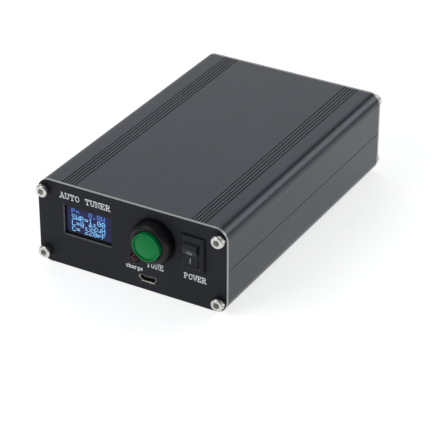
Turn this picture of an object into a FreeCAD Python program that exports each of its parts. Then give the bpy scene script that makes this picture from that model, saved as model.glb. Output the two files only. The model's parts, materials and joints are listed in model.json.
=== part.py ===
import FreeCAD, Part
import math
import os

# Automatic antenna tuner in a split extruded aluminium case.
# Millimetres. X runs to the right as seen from the front, Y runs from the front panel to the
# rear panel, Z runs up. The origin is on the resting face, in the middle of the case.

Vector = FreeCAD.Vector

# ---- driving dimensions ----------------------------------------------------------------------
CASE_WIDTH = 88.0
CASE_HEIGHT = 38.0
SHELL_LENGTH = 133.8
PANEL_THICKNESS = 1.2
CORNER_RADIUS = 5.2
WALL = 1.8

# corner screws: M3 socket head cap screws in tapped channels of the case
SCREW_X = 40.8
SCREW_INSET_Z = 4.7
SCREW_RADIUS = 1.5
SCREW_LENGTH = 10.0
SCREW_HEAD_RADIUS = 2.75
SCREW_HEAD_HEIGHT = 3.0
SCREW_KEY = 2.5
SCREW_KEY_DEPTH = 1.5
CHANNEL_BOSS_RADIUS = 2.9
CHANNEL_SLOT = 1.2
SCREW_HEAD_CHAMFER = 0.3

# lengthwise grooves in the top and bottom
GROOVE_COUNT = 5
GROOVE_FIRST_X = 27.2
GROOVE_PITCH = 1.5
GROOVE_RADIUS = 0.475
GROOVE_DEPTH = 0.22

# seam between the two halves of the case
TONGUE = 0.75
TONGUE_HEIGHT = 1.0
SEAM_CHAMFER = 0.2

# ribs inside the case that hold a board between them
RIB_DEPTH = 1.9
RIB_THICKNESS = 1.4
BOARD_SLOT_PLAY = 0.2

# front panel: display window
WINDOW_X = -20.7
WINDOW_Z = 21.6
WINDOW_WIDTH = 23.0
WINDOW_HEIGHT = 14.0
GASKET = 0.5
GASKET_BORDER = 1.3
GASKET_INSET = 0.2
GLASS_WIDTH = 26.7
GLASS_HEIGHT = 19.3
GLASS_THICKNESS = 1.45
GLASS_TOP_MARGIN = 2.1
ACTIVE_HEIGHT = 11.2
DISPLAY_BOARD_SIZE = 27.3
DISPLAY_BOARD_THICKNESS = 1.2
DISPLAY_BOARD_MARGIN = 4.0
DISPLAY_HOLE_INSET = 2.0
DISPLAY_HOLE_RADIUS = 1.1
DISPLAY_PIN_INSET = 1.6
DISPLAY_PINS = 4
DISPLAY_PLUG_WIDTH = 10.2
DISPLAY_PLUG_HEIGHT = 2.5
DISPLAY_PLUG_LENGTH = 14.0
DISPLAY_LEAD_REACH = 9.0
PIN_PITCH = 2.54

# front panel: tune button
BUTTON_X = 11.0
BUTTON_Z = 24.4
BARREL_RADIUS = 7.9
BARREL_LENGTH = 15.0
BUTTON_TRAVEL = 2.0
COLLAR_BASE_RADIUS = 9.7
COLLAR_MOUTH_RADIUS = 7.3
COLLAR_HEIGHT = 5.3
COLLAR_BULGE = (0.75, 3.3)
COLLAR_BORE_RADIUS = 6.45
CAP_RADIUS = 6.2
CAP_REACH = 7.4
CAP_LENGTH = 9.4
CAP_SKIN = 1.2
CAP_RIM_RADIUS = 0.5
CAP_DISH_RADIUS = 40.0
CAP_DISH_DEPTH = 0.4
BUTTON_HOUSING_LENGTH = 7.0
BUTTON_HOUSING_RADIUS = 7.0
BUTTON_CHAMBER_RADIUS = 5.9
BUTTON_REAR_WALL = 1.4
GUIDE_DEPTH = 4.7
GUIDE_THICKNESS = 1.4
PLUNGER_RADIUS = 2.0
PLUNGER_PLAY = 0.08
BUTTON_SPRING_RADIUS = 3.4
BUTTON_SPRING_WIRE = 0.2
BUTTON_SPRING_TURNS = 6
BRIDGE_WIDTH = 8.4
BRIDGE_HEIGHT = 3.0
BRIDGE_THICKNESS = 0.4
BRIDGE_CORNER = 0.6
BRIDGE_INSET = 5.4
BUTTON_TERMINAL_OFFSET = 3.0
BUTTON_TERMINAL_GAP = 0.3
BUTTON_TERMINAL = (0.6, 2.8)
BUTTON_TERMINAL_REACH = 4.6
NUT_ACROSS_FLATS = 19.0
NUT_THICKNESS = 3.0
WASHER_RADIUS = 9.3
WASHER_THICKNESS = 0.5

# front panel: power switch
SWITCH_X = 28.9
SWITCH_Z = 24.0
BEZEL_WIDTH = 10.5
BEZEL_HEIGHT = 15.0
BEZEL_THICKNESS = 1.9
BEZEL_CHAMFER = 1.1
HOUSING_WIDTH = 8.4
HOUSING_HEIGHT = 13.2
HOUSING_DEPTH = 12.0
ROCKER_WIDTH = 6.5
ROCKER_RADIUS = 6.0
ROCKER_TILT = 11.0
ROCKER_TIP_ANGLE = 46.0
ROCKER_VALLEY_DEPTH = 1.4
ROCKER_BACK = 2.0
ROCKER_BORE_RADIUS = 1.0
ROCKER_SIDE_PLAY = 0.2
ROCKER_ROUND_PLAY = 0.15
CONTACT_CHAMBER_WIDTH = 5.2
CONTACT_CHAMBER_HEIGHT = 10.4
HOUSING_REAR_WALL = 1.5
PIVOT_BEHIND_FACE = 1.0
TRUNNION_RADIUS = 0.9
TRUNNION_END_PLAY = 0.1
SWITCH_PLUNGER_RADIUS = 0.9
SWITCH_PLUNGER_TIP_RADIUS = 0.6
PLUNGER_REACH = 5.65
SWITCH_SPRING_RADIUS = 0.75
SWITCH_SPRING_WIRE = 0.12
SWITCH_SPRING_LENGTH = 1.6
SWITCH_SPRING_TURNS = 4
BLADE_LENGTH = 8.6
BLADE_WIDTH = 3.2
BLADE_THICKNESS = 0.5
BLADE_TILT = 8.0
BLADE_BEHIND_FACE = 7.2
SWITCH_TERMINAL_WIDTH = 4.0
SWITCH_TERMINAL_THICKNESS = 0.8
SWITCH_TERMINAL_GAPS = (0.6, 1.05)
SWITCH_TERMINAL_RISE = 3.6
SWITCH_TERMINAL_REACH = 7.0
SWITCH_LEAD_REACHES = (9.5, 11.5)
SWITCH_LEAD_OFFSET = 1.0

# front panel: charge lamp and charging socket
LED_X = 1.2
LED_Z = 13.0
LED_RADIUS = 2.45
LED_LENGTH = 8.6
LED_TIP_HEIGHT = 0.4
LED_FLANGE = 0.45
LED_FLANGE_THICKNESS = 1.0
LED_LEAD_REACH = 3.5
USB_X = 7.45
USB_Z = 5.06
USB_WIDTH = 7.5
USB_HEIGHT = 2.65
USB_DEPTH = 5.6
USB_SHEET = 0.25
USB_SETBACK = 0.2
USB_SHOULDER = -0.1
USB_SLANT = 1.0
USB_REAR_BLOCK = 1.2
USB_TONGUE_WIDTH = 4.6
USB_TONGUE_THICKNESS = 0.6
USB_TONGUE_RISE = 0.55
USB_TONGUE_SETBACK = 0.8
USB_OPENING = (8.5, 3.4)
USB_OPENING_CORNER = 0.9

# rear panel: two SO-239 sockets
SOCKET_X = 21.0
THREAD_RADIUS = 7.94
SOCKET_LENGTH = 17.9
MOUTH_RADIUS = 6.1
MOUTH_DEPTH = 8.0
FLANGE = 25.4
FLANGE_THICKNESS = 1.6
FLANGE_HOLE_OFFSET = 9.1
REAR_BARREL_RADIUS = 6.5
REAR_BARREL_LENGTH = 7.6
INSULATOR_RADIUS = 5.55
CONTACT_RADIUS = 3.0
CONTACT_BORE_RADIUS = 2.0
CONTACT_BORE_DEPTH = 14.0
CONTACT_TAIL = 11.1
SOLDER_CUP_DEPTH = 3.0
FLANGE_CORNER = 1.5
PAN_HEAD_RADIUS = 2.8
PAN_HEAD_HEIGHT = 1.9
PAN_HEAD_ROUNDING = 1.0
PAN_SLOT = (3.2, 0.7)
PAN_SLOT_DEPTH = 1.0
SOCKET_SCREW_LENGTH = 7.0
SOCKET_NUT_ACROSS_FLATS = 5.5
SOCKET_NUT_THICKNESS = 2.4

# main board, held in the lower pair of case slots
BOARD_THICKNESS = 1.6
BOARD_TOP = 11.1
BOARD_HALF_WIDTH = 41.8
BOARD_FRONT = -32.0
BOARD_BACK = 61.5
RELAY_WIDTH = 10.4
RELAY_LENGTH = 15.6
RELAY_HEIGHT = 11.6
BANK_SIZE = 7
BANK_PITCH = 11.4
CAPACITOR_BANK_Y = -24.0
INDUCTOR_BANK_Y = -5.4
CONNECTOR_LENGTH = 5.0
CONNECTOR_HEIGHT = 6.0
CONNECTOR_PIN_Z = 14.5
RELAY_CORNER = 0.8
DRIVER_SIZE = (2.8, 1.3, 1.1)
DRIVER_OFFSET = 2.6
DRIVER_GAP = 0.8
CAPACITOR_SIZE = (4.6, 3.2, 2.0)
CAPACITOR_GAP = 1.0
TOROID_PLACES = ((-30.0, 25.5), (-8.0, 25.5), (13.5, 25.5))
TOROID_OUTER = 8.75
TOROID_INNER = 4.7
TOROID_HEIGHT = 4.8
TOROID_TURNS = (16, 13, 10)
TOROID_SPREAD = 300
AIR_COIL_WIRE = 0.4
AIR_COIL_RADIUS = 2.6
AIR_COIL_PITCH = 1.5
AIR_COIL_GAP = 0.1
AIR_COIL_COLUMNS = ((28.5, 5), (37.0, 4))
AIR_COIL_ROWS = (17.5, 28.5)
COUPLER_X = 8.5
COUPLER_Y = 52.0
COUPLER_OUTER = 6.35
COUPLER_INNER = 3.55
COUPLER_TURNS = 10
COUPLER_SPREAD = 280
WINDING_WIRE = 0.8
WINDING_GAP = 0.05
STANDING_GAP = 0.2
CHIP_X = -21.0
CHIP_Y = 41.0
CHIP_PINS = 14
CHIP_LENGTH = 35.0
CHIP_WIDTH = 7.0
CHIP_BOTTOM = 0.6
CHIP_TOP = 3.9
CHIP_NOTCH_RADIUS = 1.2
CHIP_NOTCH_DEPTH = 0.5
CHIP_PIN_WIDTH = 1.2
CHIP_PIN_THICKNESS = 0.5
CHIP_PIN_HEIGHT = 2.2
CONVERTER_COIL = (28.0, 36.0, 41.0, 49.0)
CONVERTER_COIL_HEIGHT = 4.5
CONVERTER_COIL_CORNER = 1.5
CONVERTER_CHIP = (20.0, 24.0, 42.0, 47.0)
CONVERTER_CHIP_HEIGHT = 1.6

# charge board, taped to the floor of the case
CHARGE_BOARD_WIDTH = 17.5
CHARGE_BOARD_LENGTH = 28.0
CHARGE_BOARD_SETBACK = 0.2
TAPE = 0.35
TAPE_SIDE_INSET = 1.0
TAPE_END_INSET = 3.0
# place on the board, width, length and height of each part
CHARGER_CHIP = (6.0, -51.0, 4.0, 5.0, 1.5)
PROTECTION_CHIP = (12.6, -51.0, 3.0, 3.0, 1.1)
SENSE_RESISTOR = (12.6, -57.0, 3.2, 1.6, 0.6)
INPUT_CAPACITOR = (5.2, -45.2, 2.0, 1.25, 0.9)
OUTPUT_CAPACITOR = (12.0, -45.2, 2.0, 1.25, 0.9)

# battery pack, taped under the roof of the case
BATTERY_WIDTH = 34.0
BATTERY_LENGTH = 50.0
BATTERY_THICKNESS = 10.0
BATTERY_FRONT = -26.0
BATTERY_TAPE = 0.5
BATTERY_CORNER = 1.6
BATTERY_TAPE_SIDE_INSET = 4.0
BATTERY_TAPE_END_INSET = 5.0
BATTERY_LEAD_X = (0.8, 3.4)
BATTERY_LEAD_REACH = 8.5
BATTERY_LEAD_DROP_Z = 12.0
BATTERY_LEAD_SLANT = 7.0

# insulated wires
WIRE_RADIUS = 0.6
RF_WIRE_RADIUS = 0.9
LAMP_LEAD_RADIUS = 0.25
RF_LEAD_REACH = 8.0
RF_LEAD_IN_CUP = 2.5
ARC_SHARE = 0.45

# ---- places worked out from the driving dimensions -------------------------------------------
HALF_WIDTH = CASE_WIDTH / 2
SEAM = CASE_HEIGHT / 2
SHELL_FRONT = -SHELL_LENGTH / 2
SHELL_BACK = SHELL_LENGTH / 2
FRONT_FACE = SHELL_FRONT - PANEL_THICKNESS
BACK_FACE = SHELL_BACK + PANEL_THICKNESS
INNER_HALF_WIDTH = HALF_WIDTH - WALL
INNER_TOP = CASE_HEIGHT - WALL
SCREW_Z = (SCREW_INSET_Z, CASE_HEIGHT - SCREW_INSET_Z)
SIDES = (-1, 1)
FIT = 0.05
OPENING_PLAY = 0.1
PANEL_HOLE_PLAY = 0.15
TOUCH = 1e-6
PARALLEL = 0.99
Y_AXIS = Vector(0, 1, 0)
Z_AXIS = Vector(0, 0, 1)


# ---- shape helpers ---------------------------------------------------------------------------
def box(x0, x1, y0, y1, z0, z1):
    return Part.makeBox(x1 - x0, y1 - y0, z1 - z0, Vector(x0, y0, z0))


def centred_box(x, z, width, height, y0, y1):
    return box(x - width / 2, x + width / 2, y0, y1, z - height / 2, z + height / 2)


def rod_y(x, z, radius, y0, y1):
    return Part.makeCylinder(radius, y1 - y0, Vector(x, y0, z), Y_AXIS)


def rod_x(y, z, radius, x0, x1):
    return Part.makeCylinder(radius, x1 - x0, Vector(x0, y, z), Vector(1, 0, 0))


def rod_z(x, y, radius, z0, z1):
    return Part.makeCylinder(radius, z1 - z0, Vector(x, y, z0), Z_AXIS)


def ring_y(x, z, outer, inner, y0, y1):
    return rod_y(x, z, outer, y0, y1).cut(rod_y(x, z, inner, y0, y1))


def hex_bar(x, z, across_flats, y0, y1):
    """Hexagonal bar along Y with flats facing up and down."""
    corner = across_flats / math.sqrt(3)
    outline = []
    for step in range(6):
        angle = math.radians(60 * step)
        outline.append((x + corner * math.cos(angle), z + corner * math.sin(angle)))
    return prism_y(outline, y0, y1)


def prism_y(outline, y0, y1):
    """Closed (x, z) outline extruded along Y."""
    points = [Vector(x, y0, z) for x, z in outline]
    points.append(points[0])
    return Part.Face(Part.makePolygon(points)).extrude(Vector(0, y1 - y0, 0))


def prism_x(outline, x0, x1):
    """Closed (y, z) outline extruded along X."""
    points = [Vector(x0, y, z) for y, z in outline]
    points.append(points[0])
    return Part.Face(Part.makePolygon(points)).extrude(Vector(x1 - x0, 0, 0))


def edges_along(solid, axis):
    return [edge for edge in solid.Edges if abs(edge.tangentAt(edge.FirstParameter).dot(axis)) > PARALLEL]


def rounded_bar(x, z, width, height, radius, y0, y1):
    bar = centred_box(x, z, width, height, y0, y1)
    return bar.makeFillet(radius, edges_along(bar, Y_AXIS))


def rounded_block(x0, x1, y0, y1, z0, z1, radius):
    """Block with its four upright edges rounded."""
    block = box(x0, x1, y0, y1, z0, z1)
    return block.makeFillet(radius, edges_along(block, Z_AXIS))


def joined(shapes):
    return shapes[0].fuse(shapes[1:]).removeSplitter()


def group(shapes):
    return Part.makeCompound(shapes)


def tilted(shape, degrees, y, z):
    """The shape turned about a line along X through (y, z)."""
    return shape.rotated(Vector(0, y, z), Vector(1, 0, 0), degrees)


def coil(x, y, z, coil_radius, wire_radius, length, turns):
    """Round wire wound about a line along Y that starts at (x, y, z)."""
    pitch = length / turns
    edges = []
    for turn in range(turns):
        edge = Part.makeHelix(pitch, pitch, coil_radius).Edges[0]
        edge.translate(Vector(0, 0, turn * pitch))
        edges.append(edge)
    heading = Vector(0, 2 * math.pi * coil_radius, pitch)
    section = Part.Wire(Part.makeCircle(wire_radius, Vector(coil_radius, 0, 0), heading).Edges)
    wire = Part.Wire(edges).makePipeShell([section], True, True)
    wire.Placement = FreeCAD.Placement(Vector(x, y, z), FreeCAD.Rotation(Z_AXIS, Y_AXIS))
    return wire


def lead(points, radius):
    """Wire of straight runs and tangent arcs, each arc as large as its two runs allow."""
    corners = [Vector(*point) for point in points]
    edges = []
    arc_radii = []
    run_start = corners[0]
    for before, corner, after in zip(corners, corners[1:], corners[2:]):
        inward = (corner - before).normalize()
        outward = (after - corner).normalize()
        half_turn = inward.getAngle(outward) / 2
        reach = ARC_SHARE * min((corner - before).Length, (after - corner).Length)
        arc_radius = reach / math.tan(half_turn)
        to_centre = (outward - inward).normalize()
        arc_start = corner - inward * reach
        arc_middle = corner + to_centre * (arc_radius * (1 / math.cos(half_turn) - 1))
        arc_end = corner + outward * reach
        edges.append(Part.LineSegment(run_start, arc_start).toShape())
        edges.append(Part.Arc(arc_start, arc_middle, arc_end).toShape())
        arc_radii.append(round(arc_radius, 2))
        run_start = arc_end
    edges.append(Part.LineSegment(run_start, corners[-1]).toShape())
    path = Part.Wire(edges)
    heading = corners[1] - corners[0]
    section = Part.Wire(Part.makeCircle(radius, corners[0], heading).Edges)
    wire = path.makePipeShell([section], True, False)
    share = wire.Volume / (math.pi * radius ** 2 * path.Length)
    length = round(path.Length, 1)
    print("lead length", length, "arc radii", arc_radii, "volume over section x length", round(share, 3))
    return wire


# ---- case ------------------------------------------------------------------------------------
def screw_channels(z):
    """Open screw channels of one half, with their bosses; returns bosses and holes."""
    bosses = []
    holes = []
    for side in SIDES:
        x = side * SCREW_X
        bosses.append(rod_y(x, z, CHANNEL_BOSS_RADIUS, SHELL_FRONT, SHELL_BACK))
        holes.append(rod_y(x, z, SCREW_RADIUS + FIT, SHELL_FRONT, SHELL_BACK))
        inner_x = x - side * 2 * CHANNEL_BOSS_RADIUS
        slot_x = sorted((x, inner_x))
        half_slot = CHANNEL_SLOT / 2
        holes.append(box(slot_x[0], slot_x[1], SHELL_FRONT, SHELL_BACK, z - half_slot, z + half_slot))
    return bosses, holes


def board_rails():
    """Ribs on the side walls of the upper half; each pair of ribs leaves a slot for a board."""
    slot = BOARD_THICKNESS + BOARD_SLOT_PLAY
    slot_z = CASE_HEIGHT - BOARD_TOP + BOARD_THICKNESS / 2
    ribs = []
    for side in SIDES:
        x = sorted((side * (INNER_HALF_WIDTH - RIB_DEPTH), side * (INNER_HALF_WIDTH + WALL / 2)))
        for z in (slot_z - slot / 2 - RIB_THICKNESS, slot_z + slot / 2):
            ribs.append(box(*x, SHELL_FRONT, SHELL_BACK, z, z + RIB_THICKNESS))
    return ribs


def top_grooves():
    """Shallow round-bottomed grooves, in a band near each side."""
    z = CASE_HEIGHT - GROOVE_DEPTH + GROOVE_RADIUS
    grooves = []
    for side in SIDES:
        for step in range(GROOVE_COUNT):
            x = side * (GROOVE_FIRST_X + step * GROOVE_PITCH)
            grooves.append(rod_y(x, z, GROOVE_RADIUS, SHELL_FRONT, SHELL_BACK))
    return grooves


def seam_chamfers():
    cuts = []
    for side in SIDES:
        edge = side * HALF_WIDTH
        inset = edge - side * SEAM_CHAMFER
        outline = [(edge, SEAM), (inset, SEAM), (edge, SEAM + SEAM_CHAMFER)]
        cuts.append(prism_y(outline, SHELL_FRONT, SHELL_BACK))
    return cuts


def upper_half():
    """One half of the case: the lower half is the same extrusion turned over."""
    outer = rounded_bar(0, SEAM, CASE_WIDTH, CASE_HEIGHT, CORNER_RADIUS, SHELL_FRONT, SHELL_BACK)
    inner_radius = CORNER_RADIUS - WALL
    inner_size = (CASE_WIDTH - 2 * WALL, CASE_HEIGHT - 2 * WALL)
    inner = rounded_bar(0, SEAM, *inner_size, inner_radius, SHELL_FRONT, SHELL_BACK)
    above_seam = box(-HALF_WIDTH, HALF_WIDTH, SHELL_FRONT, SHELL_BACK, SEAM, CASE_HEIGHT)
    bosses, holes = screw_channels(CASE_HEIGHT - SCREW_INSET_Z)
    bosses = [boss.common(outer) for boss in bosses]
    tongue_x = (-INNER_HALF_WIDTH - TONGUE, -INNER_HALF_WIDTH)
    tongue = box(*tongue_x, SHELL_FRONT, SHELL_BACK, SEAM - TONGUE_HEIGHT, SEAM + WALL)
    rebate_x = (INNER_HALF_WIDTH, INNER_HALF_WIDTH + TONGUE + 2 * FIT)
    rebate = box(*rebate_x, SHELL_FRONT, SHELL_BACK, SEAM, SEAM + TONGUE_HEIGHT + 2 * FIT)
    wall = outer.cut(inner).common(above_seam)
    half = joined([wall, tongue] + bosses + board_rails())
    return half.cut(holes + top_grooves() + seam_chamfers() + [rebate])


def lower_half():
    return upper_half().rotated(Vector(0, 0, SEAM), Y_AXIS, 180)


def blank_panel(y0, y1):
    plate = rounded_bar(0, SEAM, CASE_WIDTH, CASE_HEIGHT, CORNER_RADIUS, y0, y1)
    radius = SCREW_RADIUS + PANEL_HOLE_PLAY
    holes = [rod_y(side * SCREW_X, z, radius, y0, y1) for side in SIDES for z in SCREW_Z]
    return plate.cut(holes)


def front_panel():
    y = (FRONT_FACE, SHELL_FRONT)
    switch_opening = (HOUSING_WIDTH + 2 * OPENING_PLAY, HOUSING_HEIGHT + 2 * OPENING_PLAY)
    openings = [
        centred_box(WINDOW_X, WINDOW_Z, WINDOW_WIDTH, WINDOW_HEIGHT, *y),
        rod_y(BUTTON_X, BUTTON_Z, BARREL_RADIUS + OPENING_PLAY, *y),
        centred_box(SWITCH_X, SWITCH_Z, *switch_opening, *y),
        rod_y(LED_X, LED_Z, LED_RADIUS + OPENING_PLAY, *y),
        rounded_bar(USB_X, USB_Z, *USB_OPENING, USB_OPENING_CORNER, *y),
    ]
    return blank_panel(*y).cut(openings)


def flange_holes(y0, y1, radius):
    """The four screw holes of both antenna sockets."""
    return [rod_y(x, z, radius, y0, y1) for x, z in flange_hole_places()]


def flange_hole_places():
    places = []
    for socket_side in SIDES:
        for x_side in SIDES:
            for z_side in SIDES:
                x = socket_side * SOCKET_X + x_side * FLANGE_HOLE_OFFSET
                places.append((x, SEAM + z_side * FLANGE_HOLE_OFFSET))
    return places


def rear_panel():
    y = (SHELL_BACK, BACK_FACE)
    barrels = [rod_y(side * SOCKET_X, SEAM, REAR_BARREL_RADIUS + OPENING_PLAY, *y) for side in SIDES]
    return blank_panel(*y).cut(barrels + flange_holes(*y, SCREW_RADIUS + OPENING_PLAY))


def socket_head_screw():
    """M3 cap screw along +Y with the underside of its head at the origin."""
    head = rod_y(0, 0, SCREW_HEAD_RADIUS, -SCREW_HEAD_HEIGHT, 0)
    rim = [edge for edge in head.Edges if abs(edge.CenterOfMass.y + SCREW_HEAD_HEIGHT) < TOUCH]
    head = head.makeChamfer(SCREW_HEAD_CHAMFER, rim)
    key = hex_bar(0, 0, SCREW_KEY, -SCREW_HEAD_HEIGHT, -SCREW_HEAD_HEIGHT + SCREW_KEY_DEPTH)
    shank = rod_y(0, 0, SCREW_RADIUS, 0, SCREW_LENGTH)
    return joined([head.cut(key), shank])


def corner_screws(face, turn):
    screws = []
    for x in (-SCREW_X, SCREW_X):
        for z in SCREW_Z:
            screw = socket_head_screw().rotated(Vector(0, 0, 0), Z_AXIS, turn)
            screws.append(screw.translated(Vector(x, face, z)))
    return group(screws)


# ---- display ---------------------------------------------------------------------------------
GLASS_FRONT = SHELL_FRONT + GASKET
GLASS_BACK = GLASS_FRONT + GLASS_THICKNESS
DISPLAY_BOARD_BACK = GLASS_BACK + DISPLAY_BOARD_THICKNESS
GLASS_TOP = WINDOW_Z + ACTIVE_HEIGHT / 2 + GLASS_TOP_MARGIN
DISPLAY_BOARD_TOP = GLASS_TOP + DISPLAY_BOARD_MARGIN
DISPLAY_PIN_Z = DISPLAY_BOARD_TOP - DISPLAY_PIN_INSET
DISPLAY_PIN_X = [WINDOW_X + PIN_PITCH * (step - (DISPLAY_PINS - 1) / 2) for step in range(DISPLAY_PINS)]


def display_gasket():
    """Foam frame between the panel and the glass."""
    frames = []
    for border in (GASKET_BORDER, GASKET_INSET):
        size = (WINDOW_WIDTH + 2 * border, WINDOW_HEIGHT + 2 * border)
        frames.append(centred_box(WINDOW_X, WINDOW_Z, *size, SHELL_FRONT, GLASS_FRONT))
    return frames[0].cut(frames[1])


def display_glass():
    middle = GLASS_TOP - GLASS_HEIGHT / 2
    return centred_box(WINDOW_X, middle, GLASS_WIDTH, GLASS_HEIGHT, GLASS_FRONT, GLASS_BACK)


def display_board():
    z = DISPLAY_BOARD_TOP - DISPLAY_BOARD_SIZE / 2
    board = centred_box(WINDOW_X, z, DISPLAY_BOARD_SIZE, DISPLAY_BOARD_SIZE, GLASS_BACK, DISPLAY_BOARD_BACK)
    offset = DISPLAY_BOARD_SIZE / 2 - DISPLAY_HOLE_INSET
    holes = []
    for x_side in SIDES:
        for z_side in SIDES:
            x = WINDOW_X + x_side * offset
            holes.append(rod_y(x, z + z_side * offset, DISPLAY_HOLE_RADIUS, GLASS_BACK, DISPLAY_BOARD_BACK))
    return board.cut(holes)


def display_plug():
    """Four-way socket strip pushed on the display's pins."""
    y = (DISPLAY_BOARD_BACK, DISPLAY_BOARD_BACK + DISPLAY_PLUG_LENGTH)
    return centred_box(WINDOW_X, DISPLAY_PIN_Z, DISPLAY_PLUG_WIDTH, DISPLAY_PLUG_HEIGHT, *y)


def display_leads():
    start = DISPLAY_BOARD_BACK + DISPLAY_PLUG_LENGTH
    turn_y = start + DISPLAY_LEAD_REACH
    leads = []
    for x in DISPLAY_PIN_X:
        points = [
            (x, start, DISPLAY_PIN_Z),
            (x, turn_y, DISPLAY_PIN_Z),
            (x, turn_y, CONNECTOR_PIN_Z),
            (x, CONNECTOR_FRONT, CONNECTOR_PIN_Z),
        ]
        leads.append(lead(points, WIRE_RADIUS))
    return group(leads)


# ---- tune button -----------------------------------------------------------------------------
BARREL_BACK = FRONT_FACE + BARREL_LENGTH
BUTTON_REAR = BARREL_BACK + BUTTON_HOUSING_LENGTH
GUIDE_FRONT = FRONT_FACE + GUIDE_DEPTH
GUIDE_BACK = GUIDE_FRONT + GUIDE_THICKNESS
CAP_FRONT = FRONT_FACE - CAP_REACH
CAP_BACK = CAP_FRONT + CAP_LENGTH
BRIDGE_FRONT = BUTTON_REAR - BRIDGE_INSET
BRIDGE_BACK = BRIDGE_FRONT + BRIDGE_THICKNESS
BUTTON_TERMINAL_X = [BUTTON_X + side * BUTTON_TERMINAL_OFFSET for side in SIDES]
BUTTON_TERMINAL_END = BUTTON_REAR + BUTTON_TERMINAL_REACH


def collar():
    """Domed collar: an arc from the base circle to the mouth, turned about the axis."""
    mouth_y = FRONT_FACE - COLLAR_HEIGHT
    bulge_inset, bulge_height = COLLAR_BULGE
    bulge = Vector(BUTTON_X + COLLAR_BASE_RADIUS - bulge_inset, FRONT_FACE - bulge_height, BUTTON_Z)
    base = Vector(BUTTON_X + COLLAR_BASE_RADIUS, FRONT_FACE, BUTTON_Z)
    rim = Vector(BUTTON_X + COLLAR_MOUTH_RADIUS, mouth_y, BUTTON_Z)
    mouth_centre = Vector(BUTTON_X, mouth_y, BUTTON_Z)
    base_centre = Vector(BUTTON_X, FRONT_FACE, BUTTON_Z)
    edges = [
        Part.LineSegment(base_centre, base).toShape(),
        Part.Arc(base, bulge, rim).toShape(),
        Part.LineSegment(rim, mouth_centre).toShape(),
        Part.LineSegment(mouth_centre, base_centre).toShape(),
    ]
    return Part.Face(Part.Wire(edges)).revolve(base_centre, Y_AXIS, 360)


def tune_button_body():
    barrel = rod_y(BUTTON_X, BUTTON_Z, BARREL_RADIUS, FRONT_FACE, BARREL_BACK)
    rear = rod_y(BUTTON_X, BUTTON_Z, BUTTON_HOUSING_RADIUS, BARREL_BACK, BUTTON_REAR)
    mouth = rod_y(BUTTON_X, BUTTON_Z, COLLAR_BORE_RADIUS, FRONT_FACE - COLLAR_HEIGHT, GUIDE_FRONT)
    guide = rod_y(BUTTON_X, BUTTON_Z, PLUNGER_RADIUS + PLUNGER_PLAY, GUIDE_FRONT, GUIDE_BACK)
    chamber = rod_y(BUTTON_X, BUTTON_Z, BUTTON_CHAMBER_RADIUS, GUIDE_BACK, BUTTON_REAR - BUTTON_REAR_WALL)
    solid = joined([collar(), barrel, rear])
    return solid.cut([mouth, guide, chamber] + button_terminal_blades())


def tune_button_cap():
    """Dished cap, hollow from behind, with a rounded rim."""
    solid = rod_y(BUTTON_X, BUTTON_Z, CAP_RADIUS, CAP_FRONT, CAP_BACK)
    rim = [edge for edge in solid.Edges if abs(edge.CenterOfMass.y - CAP_FRONT) < TOUCH]
    solid = solid.makeFillet(CAP_RIM_RADIUS, rim)
    dish_centre = Vector(BUTTON_X, CAP_FRONT - CAP_DISH_RADIUS + CAP_DISH_DEPTH, BUTTON_Z)
    dish = Part.makeSphere(CAP_DISH_RADIUS, dish_centre)
    hollow_y = (CAP_FRONT + 2 * CAP_SKIN, CAP_BACK)
    hollow = ring_y(BUTTON_X, BUTTON_Z, CAP_RADIUS - CAP_SKIN, PLUNGER_RADIUS, *hollow_y)
    bore = rod_y(BUTTON_X, BUTTON_Z, PLUNGER_RADIUS, CAP_FRONT + 3 * CAP_SKIN, CAP_BACK)
    return solid.cut([dish, hollow, bore])


def tune_button_plunger():
    return rod_y(BUTTON_X, BUTTON_Z, PLUNGER_RADIUS, CAP_FRONT + 3 * CAP_SKIN, BRIDGE_FRONT)


def tune_button_spring():
    wire = BUTTON_SPRING_WIRE
    start = CAP_FRONT + 2 * CAP_SKIN + wire
    length = GUIDE_FRONT - wire - start
    return coil(BUTTON_X, start, BUTTON_Z, BUTTON_SPRING_RADIUS, wire, length, BUTTON_SPRING_TURNS)


def tune_button_bridge():
    return rounded_bar(
        BUTTON_X, BUTTON_Z, BRIDGE_WIDTH, BRIDGE_HEIGHT, BRIDGE_CORNER, BRIDGE_FRONT, BRIDGE_BACK
    )


def button_terminal_blades():
    y = (BRIDGE_BACK + BUTTON_TRAVEL + BUTTON_TERMINAL_GAP, BUTTON_TERMINAL_END)
    return [centred_box(x, BUTTON_Z, *BUTTON_TERMINAL, *y) for x in BUTTON_TERMINAL_X]


def tune_button_nut():
    front = SHELL_FRONT + WASHER_THICKNESS
    y = (front, front + NUT_THICKNESS)
    hole = rod_y(BUTTON_X, BUTTON_Z, BARREL_RADIUS + FIT, *y)
    return hex_bar(BUTTON_X, BUTTON_Z, NUT_ACROSS_FLATS, *y).cut(hole)


def tune_button_washer():
    y = (SHELL_FRONT, SHELL_FRONT + WASHER_THICKNESS)
    return ring_y(BUTTON_X, BUTTON_Z, WASHER_RADIUS, BARREL_RADIUS + FIT, *y)


def button_leads():
    turn_y = (BUTTON_TERMINAL_END + CONNECTOR_FRONT) / 2
    leads = []
    for x in BUTTON_TERMINAL_X:
        points = [
            (x, BUTTON_TERMINAL_END, BUTTON_Z),
            (x, turn_y, BUTTON_Z),
            (x, turn_y, CONNECTOR_PIN_Z),
            (x, CONNECTOR_FRONT, CONNECTOR_PIN_Z),
        ]
        leads.append(lead(points, WIRE_RADIUS))
    return group(leads)


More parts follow.
